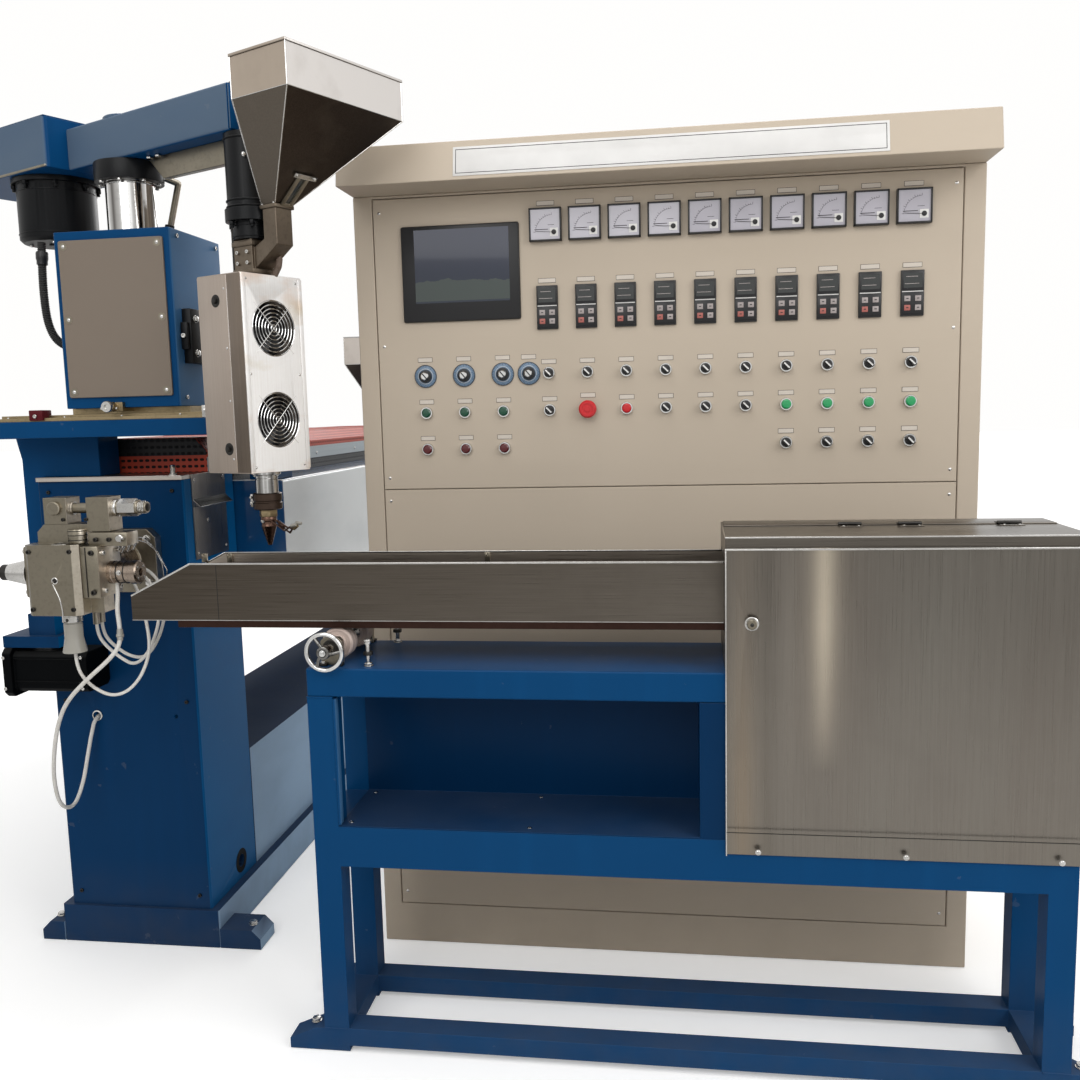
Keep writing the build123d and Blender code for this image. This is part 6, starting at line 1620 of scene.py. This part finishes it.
block((panelLow.x - 0.0006, sheetFace - 0.0005, panelLow.z + 0.002),
      (panelLow.x + 0.0018, sheetFace + 0.003, panelHigh.z), 0.0005, 0)
finished("tank.fittings", "front_panel", [brightSteel, headSteel, darkSteel])

flapLow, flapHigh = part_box("lid_flap")
rearLow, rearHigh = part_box("lid_rear")
top = flapHigh.z
block((flapLow.x - 0.0003, flapLow.y - 0.0005, top - 0.0022),
      (flapHigh.x + 0.0003, flapLow.y + 0.0012, top + 0.0005), 0.0004, 0)
block((flapLow.x - 0.0004, flapLow.y, top - 0.002), (flapLow.x + 0.001, flapHigh.y, top + 0.0004),
      0.0004, 0)
for x in tank["hinges"]:    # hinge leaves on the flap
    block((x - tank["leaf"], flapHigh.y - 0.02, top),
          (x + tank["leaf"], flapHigh.y - 0.001, top + 0.0015), 0.0005, 1)
    for offset in (-0.014, 0.014):
        panScrew((x + offset, flapHigh.y - 0.012, top + 0.0015), up, 0.0024, 0)
finished("lid.edges", "lid_flap", [brightSteel, lidSteel])

top = rearHigh.z
block((rearLow.x + 0.004, rearLow.y + 0.004, top),
      (rearHigh.x - 0.004, rearHigh.y - 0.004, top + 0.0025), 0.001, 0)
for x in tank["hinges"]:
    block((x - tank["leaf"], rearLow.y + 0.001, top),
          (x + tank["leaf"], rearLow.y + 0.022, top + 0.004), 0.0005, 1)
    drum(0.0036, 2 * tank["leaf"], (x - tank["leaf"], rearLow.y + 0.003, top + 0.0036), outAlong,
         0.0006, 1, 14)
finished("lid.hinges", "lid_rear", [lidSteel, darkSteel])

drains = {
    "drain": [(0, 0.026), (0.003, 0.026), (0.004, 0.017), (0.02, 0.017), (0.021, 0.019), (0.03, 0.019),
              (0.03, 0.013), (0.022, 0.013)],
    "overflow": [(0, 0.022), (0.003, 0.022), (0.004, 0.014), (0.02, 0.014), (0.02, 0.01), (0.012, 0.01)],
}
tankLow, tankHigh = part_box("tank_box")
lathe(drains["drain"], (tankHigh.x - 0.12, tankHigh.y, tankLow.z + 0.045), outRear, 0, 32)
lathe(drains["overflow"], (tankLow.x + 0.14, tankHigh.y, tankHigh.z - 0.05), outRear, 0, 32)
for x in (tankLow.x + 0.01, tankHigh.x - 0.01):
    block((x - 0.01, tankHigh.y, tankLow.z + 0.004), (x + 0.01, tankHigh.y + 0.0012, tankHigh.z - 0.002),
          0.0004, 0)
for y, z in product((tankLow.y + 0.03, tankHigh.y - 0.03), (tankLow.z + 0.02, tankHigh.z - 0.02)):
    panScrew((tankHigh.x, y, z), outAlong, 0.0042, 1)
finished("tank.back", "tank_box", [headSteel, brightSteel])

# Table: weld beads at the joints of its tubes, bolts in the feet, screws and folded edge of the tray
table = {"tube": 0.05, "weld": 0.0016, "footThick": 0.048, "footBolt": 0.01, "trayScrew": 0.004}
legLow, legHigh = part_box("table_legs")
topLow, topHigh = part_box("table_top")
trayLow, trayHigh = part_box("table_tray")
tube = table["tube"]
weldsAt = (0.0485, topLow.z - 0.0005)
for x, y, z in product((topLow.x, topHigh.x - tube), (topLow.y, topHigh.y - tube), weldsAt):
    corners = cornersOf(x, x + tube, y, y + tube)
    wire([(*corner, z) for corner in corners + corners[:1]], table["weld"], 0, 6)
finished("table.welds", "table_legs", [bluePaint])

for x, y in product((legLow.x + 0.05, legHigh.x - 0.05), (legLow.y + tube / 2, legHigh.y - tube / 2)):
    hexBolt((x, y, table["footThick"]), up, table["footBolt"], 0)
for x, y in product((trayLow.x + 0.02, (trayLow.x + trayHigh.x) / 2, trayHigh.x - 0.02),
                    (trayLow.y + 0.02, trayHigh.y - 0.02)):
    panScrew((x, y, trayLow.z + 0.003), up, table["trayScrew"], 0)
block((trayLow.x, trayLow.y - 0.001, trayLow.z + 0.004),    # the folded edge
      (trayLow.x + 0.005, trayLow.y + 0.018, trayHigh.z - 0.004), 0.001, 1)
finished("table.bolts", "table_top", [brightSteel, boxPaint])
print("head, trough, tank and table dressed")

# Machine bed: pale lines along its edges as painted edge highlights, joints of the guard, flanges of the
# throat, hopper seams, gearbox
edgeHighlightWire = 0.0014
bedLow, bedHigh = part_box("machine_bed")
# pale wires along the top edges: painted edge highlights
for x in (bedLow.x + 0.0025, bedHigh.x - 0.0025):
    wire([(x, y, bedHigh.z - 0.0022) for y in (bedLow.y + 0.001, bedHigh.y - 0.001)], edgeHighlightWire, 0, 6)
wire([(x, bedLow.y, bedHigh.z - 0.0005) for x in (bedLow.x + 0.004, bedHigh.x - 0.004)], edgeHighlightWire, 0, 6)
finished("bed.edges", "machine_bed", [signPlate])

guard = {"joints": 4, "length": 0.38, "chamfer": 0.031, "screwHeight": 1.18, "screw": 0.004}
guardLow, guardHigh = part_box("barrel_guard")
for index in range(guard["joints"]):
    y = guardLow.y + guard["length"] * (index + 1)
    block((guardLow.x + guard["chamfer"], y - 0.008, guardHigh.z - 0.001),
          (guardHigh.x - guard["chamfer"], y + 0.008, guardHigh.z + 0.0008), 0.0004, 0)
    for x, way in ((guardLow.x - 0.0008, inAlong), (guardHigh.x + 0.0008, outAlong)):
        panScrew((x, y, guard["screwHeight"]), way, guard["screw"], 1)
finished("guard.joints", "barrel_guard", [guardEdge, brightSteel])

throat = {"flange": (0.05, 0.074, 0.012), "boltCircle": 0.066, "bolt": 0.006, "gate": (1.225, 1.229)}
throatLow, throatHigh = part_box("feed_throat")
axis = axisOf(throatLow, throatHigh)
thick = throat["flange"][2]
upper = throatHigh.z - thick
for z, boltAt, way in ((throatLow.z, throatLow.z + thick, up), (upper, upper, down)):
    sleeve(*throat["flange"], axis + up * z, up, 0, 48)
    for x, y in around(6, throat["boltCircle"]):
        hexBolt(axis + Vector((x, y, boltAt)), way, throat["bolt"], 1)
gateFoot, gateTop = throat["gate"]
for side in (-0.004, 0.004):    # slide gate and its handle
    block(axis + Vector((side - 0.045, -0.1, gateFoot)), axis + Vector((side + 0.045, 0.05, gateTop)),
          0.001, 1)
drum(0.008, 0.06, axis + Vector((-0.03, -0.1, (gateFoot + gateTop) / 2)), outAlong, 0.002, 2, 20)
finished("throat.flanges", "feed_throat", [headSteel, brightSteel, blackPlastic])

seams = {"band": 0.12, "outlet": 0.0385, "weld": 0.0018, "rim": 0.0028, "fold": 0.0012}
mainLow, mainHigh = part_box("main_hopper")
band, reach = mainHigh.z - seams["band"], seams["outlet"]
rim = cornersOf(mainLow.x, mainHigh.x, mainLow.y, mainHigh.y)
foot = cornersOf(axis.x - reach, axis.x + reach, axis.y - reach, axis.y + reach)
for top, low in zip(rim, foot):
    wire([(*top, mainHigh.z - 0.002), (*top, band), (*low, mainLow.z + 0.002)], seams["weld"], 0, 6)
for first, second in zip(rim, rim[1:] + rim[:1]):
    wire([(*first, mainHigh.z - 0.001), (*second, mainHigh.z - 0.001)], seams["rim"], 0, 8)
    wire([(*first, band), (*second, band)], seams["fold"], 0, 6)
finished("main.hopper.seams", "main_hopper", [brightSteel])

gearing = {
    "footThick": 0.02, "footBolt": 0.011, "ribs": 8, "ribStep": 0.028, "shaftHeight": 0.15,
    "cover": [(0, 0.085), (0.008, 0.085), (0.011, 0.08), (0.011, 0.05), (0.018, 0.046), (0.018, 0)],
    "coverBolts": 8, "coverBolt": 0.008,
    "breather": [(0, 0.02), (0.004, 0.02), (0.006, 0.016), (0.008, 0.01), (0.026, 0.01), (0.028, 0.014),
                 (0.04, 0.014), (0.043, 0)],
    "sightGlass": [(0, 0.02), (0.004, 0.02), (0.006, 0.017), (0.006, 0)],
}
gearLow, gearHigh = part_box("gearbox")
footTop = gearLow.z + gearing["footThick"]
shaftZ = gearLow.z + gearing["shaftHeight"]
block((gearLow.x - 0.006, gearLow.y - 0.004, gearLow.z),
      (gearHigh.x + 0.006, gearHigh.y + 0.001, footTop), 0.003, 0)
for x, y in product((gearLow.x + 0.018, gearHigh.x - 0.018),
                    (gearLow.y + 0.05, (gearLow.y + gearHigh.y) / 2, gearHigh.y - 0.05)):
    hexBolt((x, y, footTop), up, gearing["footBolt"], 1)
for index in range(gearing["ribs"]):    # ribs of the casing
    y = gearLow.y + 0.06 + index * gearing["ribStep"]
    for x in (gearLow.x, gearHigh.x):
        block((x - 0.004, y, gearLow.z + 0.05), (x + 0.004, y + 0.008, gearHigh.z - 0.07), 0.0015, 0)
lathe(gearing["cover"], (0, gearLow.y, shaftZ), outFront, 0, 56)
for x, z in around(gearing["coverBolts"], 0.068):
    hexBolt((x, gearLow.y - 0.011, shaftZ + z), outFront, gearing["coverBolt"], 1)
lathe(gearing["breather"], (0.06, gearHigh.y - 0.08, gearHigh.z), up, 1, 28)
glass = (-0.09, gearHigh.y, gearLow.z + 0.12)
lathe(gearing["sightGlass"], glass, outRear, 1, 28)
lathe([(0.0062, 0.0145), (0.0066, 0)], glass, outRear, 2, 24)
finished("gearbox.fittings", "gearbox", [bedPaint, brightSteel, controllerGlass])
print("bed and back dressed")

bpy.context.view_layer.update()
